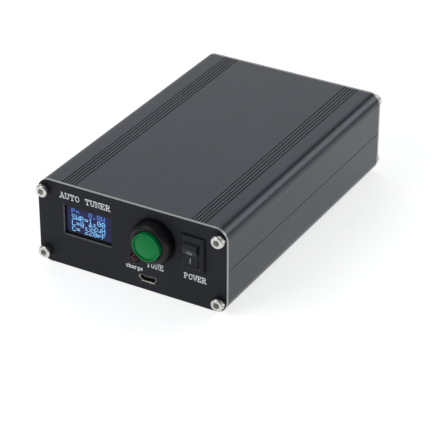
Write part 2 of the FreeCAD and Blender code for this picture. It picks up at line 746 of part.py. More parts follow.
# ---- power switch ----------------------------------------------------------------------------
PIVOT_Y = FRONT_FACE + PIVOT_BEHIND_FACE
HOUSING_BACK = FRONT_FACE + HOUSING_DEPTH
BLADE_Y = FRONT_FACE + BLADE_BEHIND_FACE
SWITCH_TERMINAL_Z = (SWITCH_Z, SWITCH_Z + SWITCH_TERMINAL_RISE)
SWITCH_TERMINAL_END = HOUSING_BACK + SWITCH_TERMINAL_REACH


def switch_terminal_blades():
    size = (SWITCH_TERMINAL_WIDTH, SWITCH_TERMINAL_THICKNESS)
    blades = []
    for z, gap in zip(SWITCH_TERMINAL_Z, SWITCH_TERMINAL_GAPS):
        blades.append(centred_box(SWITCH_X, z, *size, BLADE_Y + gap, SWITCH_TERMINAL_END))
    return blades


def power_switch_frame():
    bezel_front = FRONT_FACE - BEZEL_THICKNESS
    bezel = centred_box(SWITCH_X, SWITCH_Z, BEZEL_WIDTH, BEZEL_HEIGHT, bezel_front, FRONT_FACE)
    front_rim = [edge for edge in bezel.Edges if edge.BoundBox.YMax < bezel_front + TOUCH]
    bezel = bezel.makeChamfer(BEZEL_CHAMFER, front_rim)
    housing = centred_box(SWITCH_X, SWITCH_Z, HOUSING_WIDTH, HOUSING_HEIGHT, FRONT_FACE, HOUSING_BACK)
    half = ROCKER_WIDTH / 2 + ROCKER_SIDE_PLAY
    well = rod_x(PIVOT_Y, SWITCH_Z, ROCKER_RADIUS + ROCKER_ROUND_PLAY, SWITCH_X - half, SWITCH_X + half)
    chamber_size = (CONTACT_CHAMBER_WIDTH, CONTACT_CHAMBER_HEIGHT)
    chamber = centred_box(SWITCH_X, SWITCH_Z, *chamber_size, PIVOT_Y, HOUSING_BACK - HOUSING_REAR_WALL)
    pivot_half = HOUSING_WIDTH / 2
    pivot = rod_x(PIVOT_Y, SWITCH_Z, TRUNNION_RADIUS + FIT, SWITCH_X - pivot_half, SWITCH_X + pivot_half)
    return joined([bezel, housing]).cut([well, chamber, pivot] + switch_terminal_blades())


def power_switch_rocker():
    """Rocker with a shallow valley between its two ends, its upper end tilted outwards."""
    half = ROCKER_WIDTH / 2
    drum = rod_x(PIVOT_Y, SWITCH_Z, ROCKER_RADIUS, SWITCH_X - half, SWITCH_X + half)
    tip_angle = math.radians(ROCKER_TIP_ANGLE)
    tip_y = PIVOT_Y - ROCKER_RADIUS * math.sin(tip_angle)
    tip_z = ROCKER_RADIUS * math.cos(tip_angle)
    valley_y = tip_y + ROCKER_VALLEY_DEPTH
    far_y = tip_y - ROCKER_VALLEY_DEPTH
    beyond_y = PIVOT_Y - 2 * ROCKER_RADIUS
    low_z = SWITCH_Z - 2 * tip_z
    high_z = SWITCH_Z + 2 * tip_z
    outline = [(beyond_y, low_z), (far_y, low_z), (valley_y, SWITCH_Z), (far_y, high_z), (beyond_y, high_z)]
    in_front = prism_x(outline, SWITCH_X - half, SWITCH_X + half)
    back = PIVOT_Y + ROCKER_BACK
    behind = centred_box(SWITCH_X, SWITCH_Z, CASE_HEIGHT, CASE_HEIGHT, back, PIVOT_Y + CASE_HEIGHT)
    trunnion_half = HOUSING_WIDTH / 2 - TRUNNION_END_PLAY
    trunnions = rod_x(PIVOT_Y, SWITCH_Z, TRUNNION_RADIUS, SWITCH_X - trunnion_half, SWITCH_X + trunnion_half)
    bore = rod_y(SWITCH_X, SWITCH_Z, ROCKER_BORE_RADIUS, PIVOT_Y - ROCKER_BORE_RADIUS, back)
    rocker = joined([drum.cut([in_front, behind]), trunnions]).cut(bore)
    return tilted(rocker, ROCKER_TILT, PIVOT_Y, SWITCH_Z)


def power_switch_plunger():
    radius = SWITCH_PLUNGER_RADIUS
    pin = rod_y(SWITCH_X, SWITCH_Z, radius, PIVOT_Y + radius, PIVOT_Y + PLUNGER_REACH)
    tip = [edge for edge in pin.Edges if abs(edge.CenterOfMass.y - PIVOT_Y - PLUNGER_REACH) < TOUCH]
    return tilted(pin.makeFillet(SWITCH_PLUNGER_TIP_RADIUS, tip), ROCKER_TILT, PIVOT_Y, SWITCH_Z)


def power_switch_spring():
    wire = SWITCH_SPRING_WIRE
    start = PIVOT_Y - ROCKER_BORE_RADIUS + wire
    spring = coil(
        SWITCH_X, start, SWITCH_Z, SWITCH_SPRING_RADIUS, wire, SWITCH_SPRING_LENGTH, SWITCH_SPRING_TURNS
    )
    return tilted(spring, ROCKER_TILT, PIVOT_Y, SWITCH_Z)


def power_switch_blade():
    """See-saw contact that the plunger tips from one end to the other."""
    y = (BLADE_Y - BLADE_THICKNESS / 2, BLADE_Y + BLADE_THICKNESS / 2)
    blade = centred_box(SWITCH_X, SWITCH_Z, BLADE_WIDTH, BLADE_LENGTH, *y)
    return tilted(blade, -BLADE_TILT, BLADE_Y, SWITCH_Z)


def switch_leads():
    leads = []
    for side, z, reach in zip(SIDES, SWITCH_TERMINAL_Z, SWITCH_LEAD_REACHES):
        x = SWITCH_X + side * SWITCH_LEAD_OFFSET
        turn_y = SWITCH_TERMINAL_END + reach
        points = [
            (x, SWITCH_TERMINAL_END, z),
            (x, turn_y, z),
            (x, turn_y, CONNECTOR_PIN_Z),
            (x, CONNECTOR_FRONT, CONNECTOR_PIN_Z),
        ]
        leads.append(lead(points, WIRE_RADIUS))
    return group(leads)


# ---- charge lamp, charging socket and charge board -------------------------------------------
CHARGE_BOARD_BOTTOM = WALL + TAPE
CHARGE_BOARD_TOP = USB_Z - USB_HEIGHT / 2
CHARGE_BOARD_FRONT = SHELL_FRONT + CHARGE_BOARD_SETBACK
CHARGE_BOARD_BACK = CHARGE_BOARD_FRONT + CHARGE_BOARD_LENGTH
CHARGE_BOARD_X = (USB_X - CHARGE_BOARD_WIDTH / 2, USB_X + CHARGE_BOARD_WIDTH / 2)
USB_Y = (FRONT_FACE + USB_SETBACK, FRONT_FACE + USB_SETBACK + USB_DEPTH)
LED_TIP = FRONT_FACE - LED_TIP_HEIGHT
LED_BASE = LED_TIP + LED_LENGTH
LED_LEAD_X = [LED_X + side * PIN_PITCH / 2 for side in SIDES]


def charge_led():
    """Round lamp with a domed front and a flange at its base."""
    dome_centre = Vector(LED_X, LED_TIP + LED_RADIUS, LED_Z)
    dome = Part.makeSphere(LED_RADIUS, dome_centre)
    size = 3 * LED_RADIUS
    front_half = centred_box(LED_X, LED_Z, size, size, LED_TIP - LED_RADIUS, LED_TIP + LED_RADIUS)
    body = rod_y(LED_X, LED_Z, LED_RADIUS, LED_TIP + LED_RADIUS, LED_BASE)
    flange = rod_y(LED_X, LED_Z, LED_RADIUS + LED_FLANGE, LED_BASE - LED_FLANGE_THICKNESS, LED_BASE)
    return joined([dome.common(front_half), body, flange])


def charge_led_leads():
    turn_y = LED_BASE + LED_LEAD_REACH
    leads = []
    for x in LED_LEAD_X:
        points = [(x, LED_BASE, LED_Z), (x, turn_y, LED_Z), (x, turn_y, CHARGE_BOARD_TOP)]
        leads.append(lead(points, LAMP_LEAD_RADIUS))
    return group(leads)


def usb_outline(inset):
    """Socket section: flat top, lower corners cut away."""
    half_width = USB_WIDTH / 2 - inset
    top = USB_HEIGHT / 2 - inset
    foot = half_width - USB_SLANT
    shape = [
        (-half_width, top), (half_width, top), (half_width, USB_SHOULDER),
        (foot, -top), (-foot, -top), (-half_width, USB_SHOULDER),
    ]
    return [(USB_X + x, USB_Z + z) for x, z in shape]


def usb_socket_shell():
    return prism_y(usb_outline(0.0), *USB_Y).cut(prism_y(usb_outline(USB_SHEET), *USB_Y))


def usb_socket_tongue():
    """Insulator: a rear block that closes the shell and the tongue that carries the contacts."""
    front, back = USB_Y
    block = prism_y(usb_outline(USB_SHEET), back - USB_REAR_BLOCK, back)
    tongue_y = (front + USB_TONGUE_SETBACK, back - USB_REAR_BLOCK / 2)
    tongue = centred_box(USB_X, USB_Z + USB_TONGUE_RISE, USB_TONGUE_WIDTH, USB_TONGUE_THICKNESS, *tongue_y)
    return joined([block, tongue])


def charge_board():
    x = CHARGE_BOARD_X
    return box(*x, CHARGE_BOARD_FRONT, CHARGE_BOARD_BACK, CHARGE_BOARD_BOTTOM, CHARGE_BOARD_TOP)


def charge_board_tape():
    x = (CHARGE_BOARD_X[0] + TAPE_SIDE_INSET, CHARGE_BOARD_X[1] - TAPE_SIDE_INSET)
    y = (CHARGE_BOARD_FRONT + TAPE_END_INSET, CHARGE_BOARD_BACK - TAPE_END_INSET)
    return box(*x, *y, WALL, CHARGE_BOARD_BOTTOM)


def charge_parts():
    """Charger chip, protection chip, sense resistor and two capacitors."""
    parts = []
    for x, y, width, length, height in (
        CHARGER_CHIP, PROTECTION_CHIP, SENSE_RESISTOR, INPUT_CAPACITOR, OUTPUT_CAPACITOR
    ):
        top = CHARGE_BOARD_TOP + height
        parts.append(box(x - width / 2, x + width / 2, y - length / 2, y + length / 2, CHARGE_BOARD_TOP, top))
    return group(parts)


# ---- rear sockets ----------------------------------------------------------------------------
SOCKET_MOUTH = BACK_FACE + SOCKET_LENGTH
INSULATOR_FRONT = SOCKET_MOUTH - MOUTH_DEPTH
REAR_BARREL_END = BACK_FACE - REAR_BARREL_LENGTH
CONTACT_END = BACK_FACE - CONTACT_TAIL
SEAT = BACK_FACE + FLANGE_THICKNESS


def socket_shell(x):
    flange = rounded_bar(x, SEAM, FLANGE, FLANGE, FLANGE_CORNER, BACK_FACE, SEAT)
    thread = rod_y(x, SEAM, THREAD_RADIUS, SEAT, SOCKET_MOUTH)
    barrel = rod_y(x, SEAM, REAR_BARREL_RADIUS, REAR_BARREL_END, BACK_FACE)
    mouth = rod_y(x, SEAM, MOUTH_RADIUS, INSULATOR_FRONT, SOCKET_MOUTH)
    bore = rod_y(x, SEAM, INSULATOR_RADIUS + FIT, REAR_BARREL_END, SOCKET_MOUTH)
    holes = flange_holes(BACK_FACE, SEAT, SCREW_RADIUS + OPENING_PLAY)
    return joined([flange, thread, barrel]).cut([mouth, bore] + holes)


def socket_insulator(x):
    return ring_y(x, SEAM, INSULATOR_RADIUS, CONTACT_RADIUS + FIT, REAR_BARREL_END, INSULATOR_FRONT)


def socket_contact(x):
    pin = rod_y(x, SEAM, CONTACT_RADIUS, CONTACT_END, INSULATOR_FRONT)
    bore = rod_y(x, SEAM, CONTACT_BORE_RADIUS, INSULATOR_FRONT - CONTACT_BORE_DEPTH, INSULATOR_FRONT)
    cup = rod_y(x, SEAM, RF_WIRE_RADIUS, CONTACT_END, CONTACT_END + SOLDER_CUP_DEPTH)
    return pin.cut([bore, cup])


def socket_screws():
    """M3 pan head screws that hold the sockets' flanges."""
    head_top = SEAT + PAN_HEAD_HEIGHT
    slot_y = (head_top - PAN_SLOT_DEPTH, head_top)
    screws = []
    for x, z in flange_hole_places():
        head = rod_y(x, z, PAN_HEAD_RADIUS, SEAT, head_top)
        rim = [edge for edge in head.Edges if abs(edge.CenterOfMass.y - head_top) < TOUCH]
        head = head.makeFillet(PAN_HEAD_ROUNDING, rim)
        slots = [centred_box(x, z, *size, *slot_y) for size in (PAN_SLOT, PAN_SLOT[::-1])]
        shank = rod_y(x, z, SCREW_RADIUS, SEAT - SOCKET_SCREW_LENGTH, SEAT)
        screws.append(joined([head.cut(slots), shank]))
    return group(screws)


def socket_nuts():
    nuts = []
    for x, z in flange_hole_places():
        y = (SHELL_BACK - SOCKET_NUT_THICKNESS, SHELL_BACK)
        nuts.append(hex_bar(x, z, SOCKET_NUT_ACROSS_FLATS, *y).cut(rod_y(x, z, SCREW_RADIUS + FIT, *y)))
    return group(nuts)


def rf_leads():
    leads = []
    for side in SIDES:
        x = side * SOCKET_X
        turn_y = CONTACT_END - RF_LEAD_REACH
        points = [(x, CONTACT_END + RF_LEAD_IN_CUP, SEAM), (x, turn_y, SEAM), (x, turn_y, BOARD_TOP)]
        leads.append(lead(points, RF_WIRE_RADIUS - FIT))
    return group(leads)


# ---- main board and what it carries ----------------------------------------------------------
CONNECTOR_FRONT = BOARD_FRONT + 1.0
CONNECTORS = ((WINDOW_X, 12.0), (BUTTON_X, 9.0), (SWITCH_X, 6.0), (-4.5, 6.0))
BANK_X = [BANK_PITCH * (step - (BANK_SIZE - 1) / 2) for step in range(BANK_SIZE)]


def main_board():
    z = (BOARD_TOP - BOARD_THICKNESS, BOARD_TOP)
    return box(-BOARD_HALF_WIDTH, BOARD_HALF_WIDTH, BOARD_FRONT, BOARD_BACK, *z)


def board_connectors():
    y = (CONNECTOR_FRONT, CONNECTOR_FRONT + CONNECTOR_LENGTH)
    z = (BOARD_TOP, BOARD_TOP + CONNECTOR_HEIGHT)
    return group([box(x - width / 2, x + width / 2, *y, *z) for x, width in CONNECTORS])


def relay(x, y):
    top = BOARD_TOP + RELAY_HEIGHT
    half = RELAY_WIDTH / 2
    return rounded_block(x - half, x + half, y, y + RELAY_LENGTH, BOARD_TOP, top, RELAY_CORNER)


def relay_bank(y):
    return group([relay(x, y) for x in BANK_X])


def part_on_board(x, y, size):
    """Block centred on x with its front at y."""
    width, length, height = size
    return box(x - width / 2, x + width / 2, y, y + length, BOARD_TOP, BOARD_TOP + height)


def relay_drivers():
    """Two driver transistors for each relay pair, in the gap between the banks."""
    y = CAPACITOR_BANK_Y + RELAY_LENGTH + DRIVER_GAP
    return group([part_on_board(x + side * DRIVER_OFFSET, y, DRIVER_SIZE) for x in BANK_X for side in SIDES])


def tuning_capacitors():
    y = INDUCTOR_BANK_Y + RELAY_LENGTH + CAPACITOR_GAP
    return group([part_on_board(x, y, CAPACITOR_SIZE) for x in BANK_X])


def toroid(outer, inner, height):
    """Ring core about Z, standing on the origin's plane."""
    return rod_z(0, 0, outer, 0, height).cut(rod_z(0, 0, inner, 0, height))


def toroid_winding(outer, inner, height, turns, spread):
    """Turns of wire round a ring core, tied together by the wire that runs along its rim."""
    gap = WINDING_GAP
    wire = WINDING_WIRE
    reach = gap + wire
    loop_outer = box(inner - reach, outer + reach, -wire / 2, wire / 2, -reach, height + reach)
    loop_inner = box(inner - gap, outer + gap, -wire / 2, wire / 2, -gap, height + gap)
    loop = loop_outer.cut(loop_inner)
    middle = height / 2
    rim = rod_z(0, 0, outer + gap + wire, middle - wire / 2, middle + wire / 2)
    rim = rim.cut(rod_z(0, 0, outer + gap, middle - wire / 2, middle + wire / 2))
    pieces = [rim]
    for turn in range(turns):
        angle = spread * (turn / (turns - 1) - 0.5)
        pieces.append(loop.rotated(Vector(0, 0, 0), Z_AXIS, angle))
    return pieces[0].fuse(pieces[1:])


def flat_on_board(shape, x, y):
    return shape.translated(Vector(x, y, BOARD_TOP + WINDING_WIRE + STANDING_GAP))


def upright_on_board(shape, x, y, outer, height):
    turned_up = shape.rotated(Vector(0, 0, 0), Vector(1, 0, 0), 90)
    return turned_up.translated(Vector(x, y + height / 2, BOARD_TOP + WINDING_WIRE + STANDING_GAP + outer))


def inductor_cores():
    core = toroid(TOROID_OUTER, TOROID_INNER, TOROID_HEIGHT)
    return group([flat_on_board(core, x, y) for x, y in TOROID_PLACES])


def inductor_windings():
    windings = []
    for (x, y), turns in zip(TOROID_PLACES, TOROID_TURNS):
        winding = toroid_winding(TOROID_OUTER, TOROID_INNER, TOROID_HEIGHT, turns, TOROID_SPREAD)
        windings.append(flat_on_board(winding, x, y))
    return group(windings)


def air_coils():
    """Small self-supporting coils, one for each of the four smallest inductances."""
    z = BOARD_TOP + AIR_COIL_RADIUS + AIR_COIL_WIRE + AIR_COIL_GAP
    coils = []
    for x, turns in AIR_COIL_COLUMNS:
        for y in AIR_COIL_ROWS:
            coils.append(coil(x, y, z, AIR_COIL_RADIUS, AIR_COIL_WIRE, turns * AIR_COIL_PITCH, turns))
    return group(coils)


def coupler_cores():
    core = toroid(COUPLER_OUTER, COUPLER_INNER, TOROID_HEIGHT)
    places = [side * COUPLER_X for side in SIDES]
    return group([upright_on_board(core, x, COUPLER_Y, COUPLER_OUTER, TOROID_HEIGHT) for x in places])


def coupler_windings():
    winding = toroid_winding(COUPLER_OUTER, COUPLER_INNER, TOROID_HEIGHT, COUPLER_TURNS, COUPLER_SPREAD)
    places = [side * COUPLER_X for side in SIDES]
    return group([upright_on_board(winding, x, COUPLER_Y, COUPLER_OUTER, TOROID_HEIGHT) for x in places])


def microcontroller():
    x = (CHIP_X - CHIP_LENGTH / 2, CHIP_X + CHIP_LENGTH / 2)
    y = (CHIP_Y - CHIP_WIDTH / 2, CHIP_Y + CHIP_WIDTH / 2)
    top = BOARD_TOP + CHIP_TOP
    body = box(*x, *y, BOARD_TOP + CHIP_BOTTOM, top)
    return body.cut(rod_z(x[0], CHIP_Y, CHIP_NOTCH_RADIUS, top - CHIP_NOTCH_DEPTH, top))


def microcontroller_pins():
    pins = []
    for step in range(CHIP_PINS):
        middle = CHIP_X + PIN_PITCH * (step - (CHIP_PINS - 1) / 2)
        x = (middle - CHIP_PIN_WIDTH / 2, middle + CHIP_PIN_WIDTH / 2)
        for side in SIDES:
            inner = CHIP_Y + side * CHIP_WIDTH / 2
            y = sorted((inner, inner + side * CHIP_PIN_THICKNESS))
            pins.append(box(*x, *y, BOARD_TOP, BOARD_TOP + CHIP_PIN_HEIGHT))
    return group(pins)


def voltage_converter():
    """Shielded inductor and converter chip that raise the battery's voltage for the relays."""
    coil_top = BOARD_TOP + CONVERTER_COIL_HEIGHT
    coil_block = rounded_block(*CONVERTER_COIL, BOARD_TOP, coil_top, CONVERTER_COIL_CORNER)
    chip = box(*CONVERTER_CHIP, BOARD_TOP, BOARD_TOP + CONVERTER_CHIP_HEIGHT)
    return group([coil_block, chip])


# ---- battery ---------------------------------------------------------------------------------
BATTERY_TOP = INNER_TOP - BATTERY_TAPE
BATTERY_BOTTOM = BATTERY_TOP - BATTERY_THICKNESS
BATTERY_BACK = BATTERY_FRONT + BATTERY_LENGTH


def battery_pack():
    half = BATTERY_WIDTH / 2
    block = box(-half, half, BATTERY_FRONT, BATTERY_BACK, BATTERY_BOTTOM, BATTERY_TOP)
    return block.makeFillet(BATTERY_CORNER, edges_along(block, Y_AXIS))


def battery_tape():
    half = BATTERY_WIDTH / 2 - BATTERY_TAPE_SIDE_INSET
    y = (BATTERY_FRONT + BATTERY_TAPE_END_INSET, BATTERY_BACK - BATTERY_TAPE_END_INSET)
    return box(-half, half, *y, BATTERY_TOP, INNER_TOP)


def battery_leads():
    middle = (BATTERY_BOTTOM + BATTERY_TOP) / 2
    turn_y = BATTERY_FRONT - BATTERY_LEAD_REACH
    leads = []
    for x in BATTERY_LEAD_X:
        points = [
            (x, BATTERY_FRONT, middle),
            (x, turn_y, middle),
            (x, turn_y, BATTERY_LEAD_DROP_Z),
            (x, turn_y - BATTERY_LEAD_SLANT, CHARGE_BOARD_TOP + WIRE_RADIUS),
        ]
        leads.append(lead(points, WIRE_RADIUS))
    return group(leads)


# ---- write every sub-part --------------------------------------------------------------------
NODES = {
    "top_shell": upper_half,
    "bottom_shell": lower_half,
    "front_panel": front_panel,
    "rear_panel": rear_panel,
    "front_panel_screws": lambda: corner_screws(FRONT_FACE, 0),
    "rear_panel_screws": lambda: corner_screws(BACK_FACE, 180),
    "display_gasket": display_gasket,
    "display_glass": display_glass,
    "display_board": display_board,
    "display_plug": display_plug,
    "display_leads": display_leads,
    "tune_button_body": tune_button_body,
    "tune_button_cap": tune_button_cap,
    "tune_button_plunger": tune_button_plunger,
    "tune_button_spring": tune_button_spring,
    "tune_button_bridge": tune_button_bridge,
    "tune_button_terminals": lambda: group(button_terminal_blades()),
    "tune_button_nut": tune_button_nut,
    "tune_button_washer": tune_button_washer,
    "button_leads": button_leads,
    "power_switch_frame": power_switch_frame,
    "power_switch_rocker": power_switch_rocker,
    "power_switch_plunger": power_switch_plunger,
    "power_switch_spring": power_switch_spring,
    "power_switch_blade": power_switch_blade,
    "power_switch_terminals": lambda: group(switch_terminal_blades()),
    "switch_leads": switch_leads,
    "charge_led": charge_led,
    "charge_led_leads": charge_led_leads,
    "usb_socket_shell": usb_socket_shell,
    "usb_socket_tongue": usb_socket_tongue,
    "charge_board": charge_board,
    "charge_board_tape": charge_board_tape,
    "charge_parts": charge_parts,
    "antenna_socket_shell": lambda: socket_shell(SOCKET_X),
    "antenna_socket_insulator": lambda: socket_insulator(SOCKET_X),
    "antenna_socket_contact": lambda: socket_contact(SOCKET_X),
    "radio_socket_shell": lambda: socket_shell(-SOCKET_X),
    "radio_socket_insulator": lambda: socket_insulator(-SOCKET_X),
    "radio_socket_contact": lambda: socket_contact(-SOCKET_X),
    "socket_screws": socket_screws,
    "socket_nuts": socket_nuts,
    "rf_leads": rf_leads,
    "main_board": main_board,
    "board_connectors": board_connectors,
    "capacitor_relays": lambda: relay_bank(CAPACITOR_BANK_Y),
    "inductor_relays": lambda: relay_bank(INDUCTOR_BANK_Y),
    "relay_drivers": relay_drivers,
    "tuning_capacitors": tuning_capacitors,
    "inductor_cores": inductor_cores,
    "inductor_windings": inductor_windings,
    "air_coils": air_coils,
    "coupler_cores": coupler_cores,
    "coupler_windings": coupler_windings,
    "microcontroller": microcontroller,
    "microcontroller_pins": microcontroller_pins,
    "voltage_converter": voltage_converter,
    "battery_pack": battery_pack,
    "battery_tape": battery_tape,
    "battery_leads": battery_leads,
}


def write_parts():
    os.makedirs("parts", exist_ok=True)
    for node, build in NODES.items():
        shape = build()
        shape.exportStep(os.path.join("parts", node + ".step"))
        print(node, len(shape.Solids), "solids", round(shape.Volume, 1), "mm3", "valid", shape.isValid())


write_parts()
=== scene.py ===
import json
import math

import bmesh
import bpy
from mathutils import Matrix, Vector
from mathutils.bvhtree import BVHTree


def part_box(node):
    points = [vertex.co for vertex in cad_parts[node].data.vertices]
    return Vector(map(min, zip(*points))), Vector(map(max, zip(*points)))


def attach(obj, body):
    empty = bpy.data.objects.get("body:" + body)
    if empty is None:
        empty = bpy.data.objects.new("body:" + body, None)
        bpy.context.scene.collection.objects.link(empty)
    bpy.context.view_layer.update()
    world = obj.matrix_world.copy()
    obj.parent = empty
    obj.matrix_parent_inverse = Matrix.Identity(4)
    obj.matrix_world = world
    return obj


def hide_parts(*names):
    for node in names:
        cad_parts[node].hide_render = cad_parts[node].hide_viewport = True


# Looks of the antenna tuner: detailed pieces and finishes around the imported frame.
# Metres; X right as seen from the front, Y from the front panel to the rear, Z up.

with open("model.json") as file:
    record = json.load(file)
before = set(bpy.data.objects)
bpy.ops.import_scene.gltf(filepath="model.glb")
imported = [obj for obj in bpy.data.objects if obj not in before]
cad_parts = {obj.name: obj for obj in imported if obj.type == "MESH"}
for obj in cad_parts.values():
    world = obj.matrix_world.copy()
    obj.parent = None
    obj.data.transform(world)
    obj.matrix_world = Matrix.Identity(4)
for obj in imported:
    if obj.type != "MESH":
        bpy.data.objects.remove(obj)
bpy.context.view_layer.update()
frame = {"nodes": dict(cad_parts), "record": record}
MM = 0.001
NODES = frame["nodes"]

FRONT_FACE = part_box("front_panel")[0][1]
BACK_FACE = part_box("rear_panel")[1][1]
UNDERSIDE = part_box("bottom_shell")[0][2]
TOP_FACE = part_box("top_shell")[1][2]
SEAM = (UNDERSIDE + TOP_FACE) / 2


def low_of(node):
    return Vector(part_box(node)[0])


def high_of(node):
    return Vector(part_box(node)[1])


def corners_of(node):
    return low_of(node), high_of(node)


def centre_of(node):
    return (low_of(node) + high_of(node)) / 2


# ---- camera ----
CAMERA_PLACE = Vector((363.88, -635.05, 422.57)) * MM
CAMERA_AIM = Vector((2.964, 1.9, -6.035)) * MM
CAMERA_ROLL = math.radians(0.162)
CAMERA_LENS = 157.885
SENSOR_WIDTH = 36.0


def add_camera():
    data = bpy.data.cameras.new("camera")
    data.lens = CAMERA_LENS
    data.sensor_width = SENSOR_WIDTH
    camera = bpy.data.objects.new("camera", data)
    bpy.context.collection.objects.link(camera)
    heading = (CAMERA_AIM - CAMERA_PLACE).to_track_quat("-Z", "Y").to_matrix().to_4x4()
    camera.matrix_world = Matrix.Translation(CAMERA_PLACE) @ heading @ Matrix.Rotation(CAMERA_ROLL, 4, "Z")
    bpy.context.scene.camera = camera


# ---- finishes ----
class Finish:
    """A procedural material, built up from noise, masks and ramps in the object's own space."""

    def __init__(self, name, metallic=0.0, **sockets):
        self.material = bpy.data.materials.new(name)
        self.material.use_nodes = True
        self.nodes = self.material.node_tree.nodes
        self.links = self.material.node_tree.links
        self.shader = self.nodes["Principled BSDF"]
        self.shader.inputs["Metallic"].default_value = metallic
        for socket, value in sockets.items():
            self.shader.inputs[socket.replace("_", " ")].default_value = value
        self.place = self.nodes.new("ShaderNodeTexCoord")

    def stretched(self, stretch):
        """The object's coordinates, scaled along each axis."""
        mapping = self.nodes.new("ShaderNodeMapping")
        mapping.inputs["Scale"].default_value = stretch
        self.links.new(self.place.outputs["Object"], mapping.inputs["Vector"])
        return mapping.outputs["Vector"]

    def noise(self, stretch, detail=4.0, roughness=0.55):
        """Noise with that many features per metre along each axis."""
        node = self.nodes.new("ShaderNodeTexNoise")
        node.inputs["Scale"].default_value = 1.0
        node.inputs["Detail"].default_value = detail
        node.inputs["Roughness"].default_value = roughness
        self.links.new(self.stretched(stretch), node.inputs["Vector"])
        return node.outputs["Fac"]

    def cells(self, per_metre, feature):
        node = self.nodes.new("ShaderNodeTexVoronoi")
        node.feature = feature
        node.inputs["Scale"].default_value = 1.0
        self.links.new(self.stretched((per_metre,) * 3), node.inputs["Vector"])
        return node.outputs["Distance"]

    def math(self, operation, first, second=0.0):
        node = self.nodes.new("ShaderNodeMath")
        node.operation = operation
        for socket, value in zip(node.inputs, (first, second)):
            if isinstance(value, (int, float)):
                socket.default_value = value
            else:
                self.links.new(value, socket)
        return node.outputs["Value"]

    def facing(self, axis):
        """1 where the surface faces along that axis, either way, and 0 where it's side on."""
        node = self.nodes.new("ShaderNodeSeparateXYZ")
        self.links.new(self.place.outputs["Normal"], node.inputs["Vector"])
        return self.math("ABSOLUTE", node.outputs[axis])

    def position(self, axis):
        node = self.nodes.new("ShaderNodeSeparateXYZ")
        self.links.new(self.place.outputs["Object"], node.inputs["Vector"])
        return node.outputs[axis]

    def within(self, value, low, high):
        """1 where the value lies between two limits, 0 elsewhere."""
        above, below = self.math("GREATER_THAN", value, low), self.math("LESS_THAN", value, high)
        return self.math("MULTIPLY", above, below)

    def ramp(self, factor, stops):
        """Colours or greys at their places from 0 to 1 along the factor."""
        node = self.nodes.new("ShaderNodeValToRGB")
        elements = node.color_ramp.elements
        while len(elements) < len(stops):
            elements.new(0.5)
        for element, (where, colour) in zip(elements, stops):
            channels = colour if isinstance(colour, tuple) else (colour,) * 3
            element.position = where
            element.color = (*channels, 1)
        self.links.new(factor, node.inputs["Fac"])
        return node.outputs["Color"]

    def mix(self, factor, first, second):
        node = self.nodes.new("ShaderNodeMix")
        node.data_type = "RGBA"
        self.links.new(factor, node.inputs["Factor"])
        for socket, value in ((node.inputs["A"], first), (node.inputs["B"], second)):
            if isinstance(value, tuple):
                socket.default_value = (*value, 1)
            else:
                self.links.new(value, socket)
        return node.outputs["Result"]

    def drive(self, socket, source):
        self.links.new(source, self.shader.inputs[socket])

    def bump(self, height, depth, strength=0.5):
        node = self.nodes.new("ShaderNodeBump")
        node.inputs["Distance"].default_value = depth
        node.inputs["Strength"].default_value = strength
        self.links.new(height, node.inputs["Height"])
        if self.shader.inputs["Normal"].is_linked:
            self.links.new(self.shader.inputs["Normal"].links[0].from_socket, node.inputs["Normal"])
        self.links.new(node.outputs["Normal"], self.shader.inputs["Normal"])

    def tangent_about_y(self):
        """Brushing that runs along Y: highlights spread round the Y axis."""
        node = self.nodes.new("ShaderNodeTangent")
        node.direction_type = "RADIAL"
        node.axis = "Y"
        self.links.new(node.outputs["Tangent"], self.shader.inputs["Tangent"])


def scaled(colour, factor):
    return tuple(channel * factor for channel in colour)


# grooves beside the middle of the case: their reach along X, and the depths that get painted shade
GROOVE_BAND = (26.5 * MM, 34.5 * MM)
GROOVE_PAINTED_SHADE = (0.12 * MM, 0.3 * MM)
# the seam gets painted shade this far either side of it
SEAM_PAINTED_SHADE = 0.17 * MM


def painted_recess_shade(finish):
    """Mask of the painted shade: 1 in the seam and in the floors of the grooves, 0 on the open faces of the
    case.
    """
    from_seam = finish.math("ABSOLUTE", finish.math("SUBTRACT", finish.position("Z"), SEAM))
    from_middle = finish.math("ABSOLUTE", finish.position("X"))
    half_height = TOP_FACE - SEAM
    shallow, deep = GROOVE_PAINTED_SHADE
    low_enough = finish.within(from_seam, half_height - deep, half_height - shallow)
    in_grooves = finish.math("MULTIPLY", low_enough, finish.within(from_middle, *GROOVE_BAND))
    in_seam = finish.math("LESS_THAN", from_seam, SEAM_PAINTED_SHADE)
    return finish.math("MAXIMUM", in_grooves, in_seam)


def anodised_case():
    """Black anodised extrusion, brushed along its length, dull in its grooves and seam, which are darkened
    with painted shade.
    """
    finish = Finish("anodised_case", metallic=1.0, Anisotropic=0.3)
    streaks = finish.noise((900, 12, 900), detail=8, roughness=0.7)
    clouds = finish.noise((30, 12, 30), detail=2)
    colour = (0.059, 0.063, 0.074)
    # painted shade: the floors of the grooves and the seam take a third of the case's colour
    painted_shade_colour = scaled(colour, 0.32)
    recess_roughness = (0.6, 0.6, 0.6)
    brushed = finish.ramp(streaks, [(0.3, scaled(colour, 0.74)), (0.5, colour), (0.72, scaled(colour, 1.3))])
    faded = finish.ramp(clouds, [(0.35, scaled(colour, 0.9)), (0.7, scaled(colour, 1.12))])
    open_tone = finish.mix(finish.ramp(clouds, [(0.3, 0.25), (0.7, 0.45)]), brushed, faded)
    polish = finish.ramp(streaks, [(0.3, 0.26), (0.7, 0.36)])
    painted_shade_mask = painted_recess_shade(finish)
    # the painted shade replaces the brushed tone in the grooves and seam
    finish.drive("Base Color", finish.mix(painted_shade_mask, open_tone, painted_shade_colour))
    finish.drive("Roughness", finish.mix(painted_shade_mask, polish, recess_roughness))
    finish.bump(streaks, 0.02 * MM, 0.25)
    finish.tangent_about_y()
    return finish.material


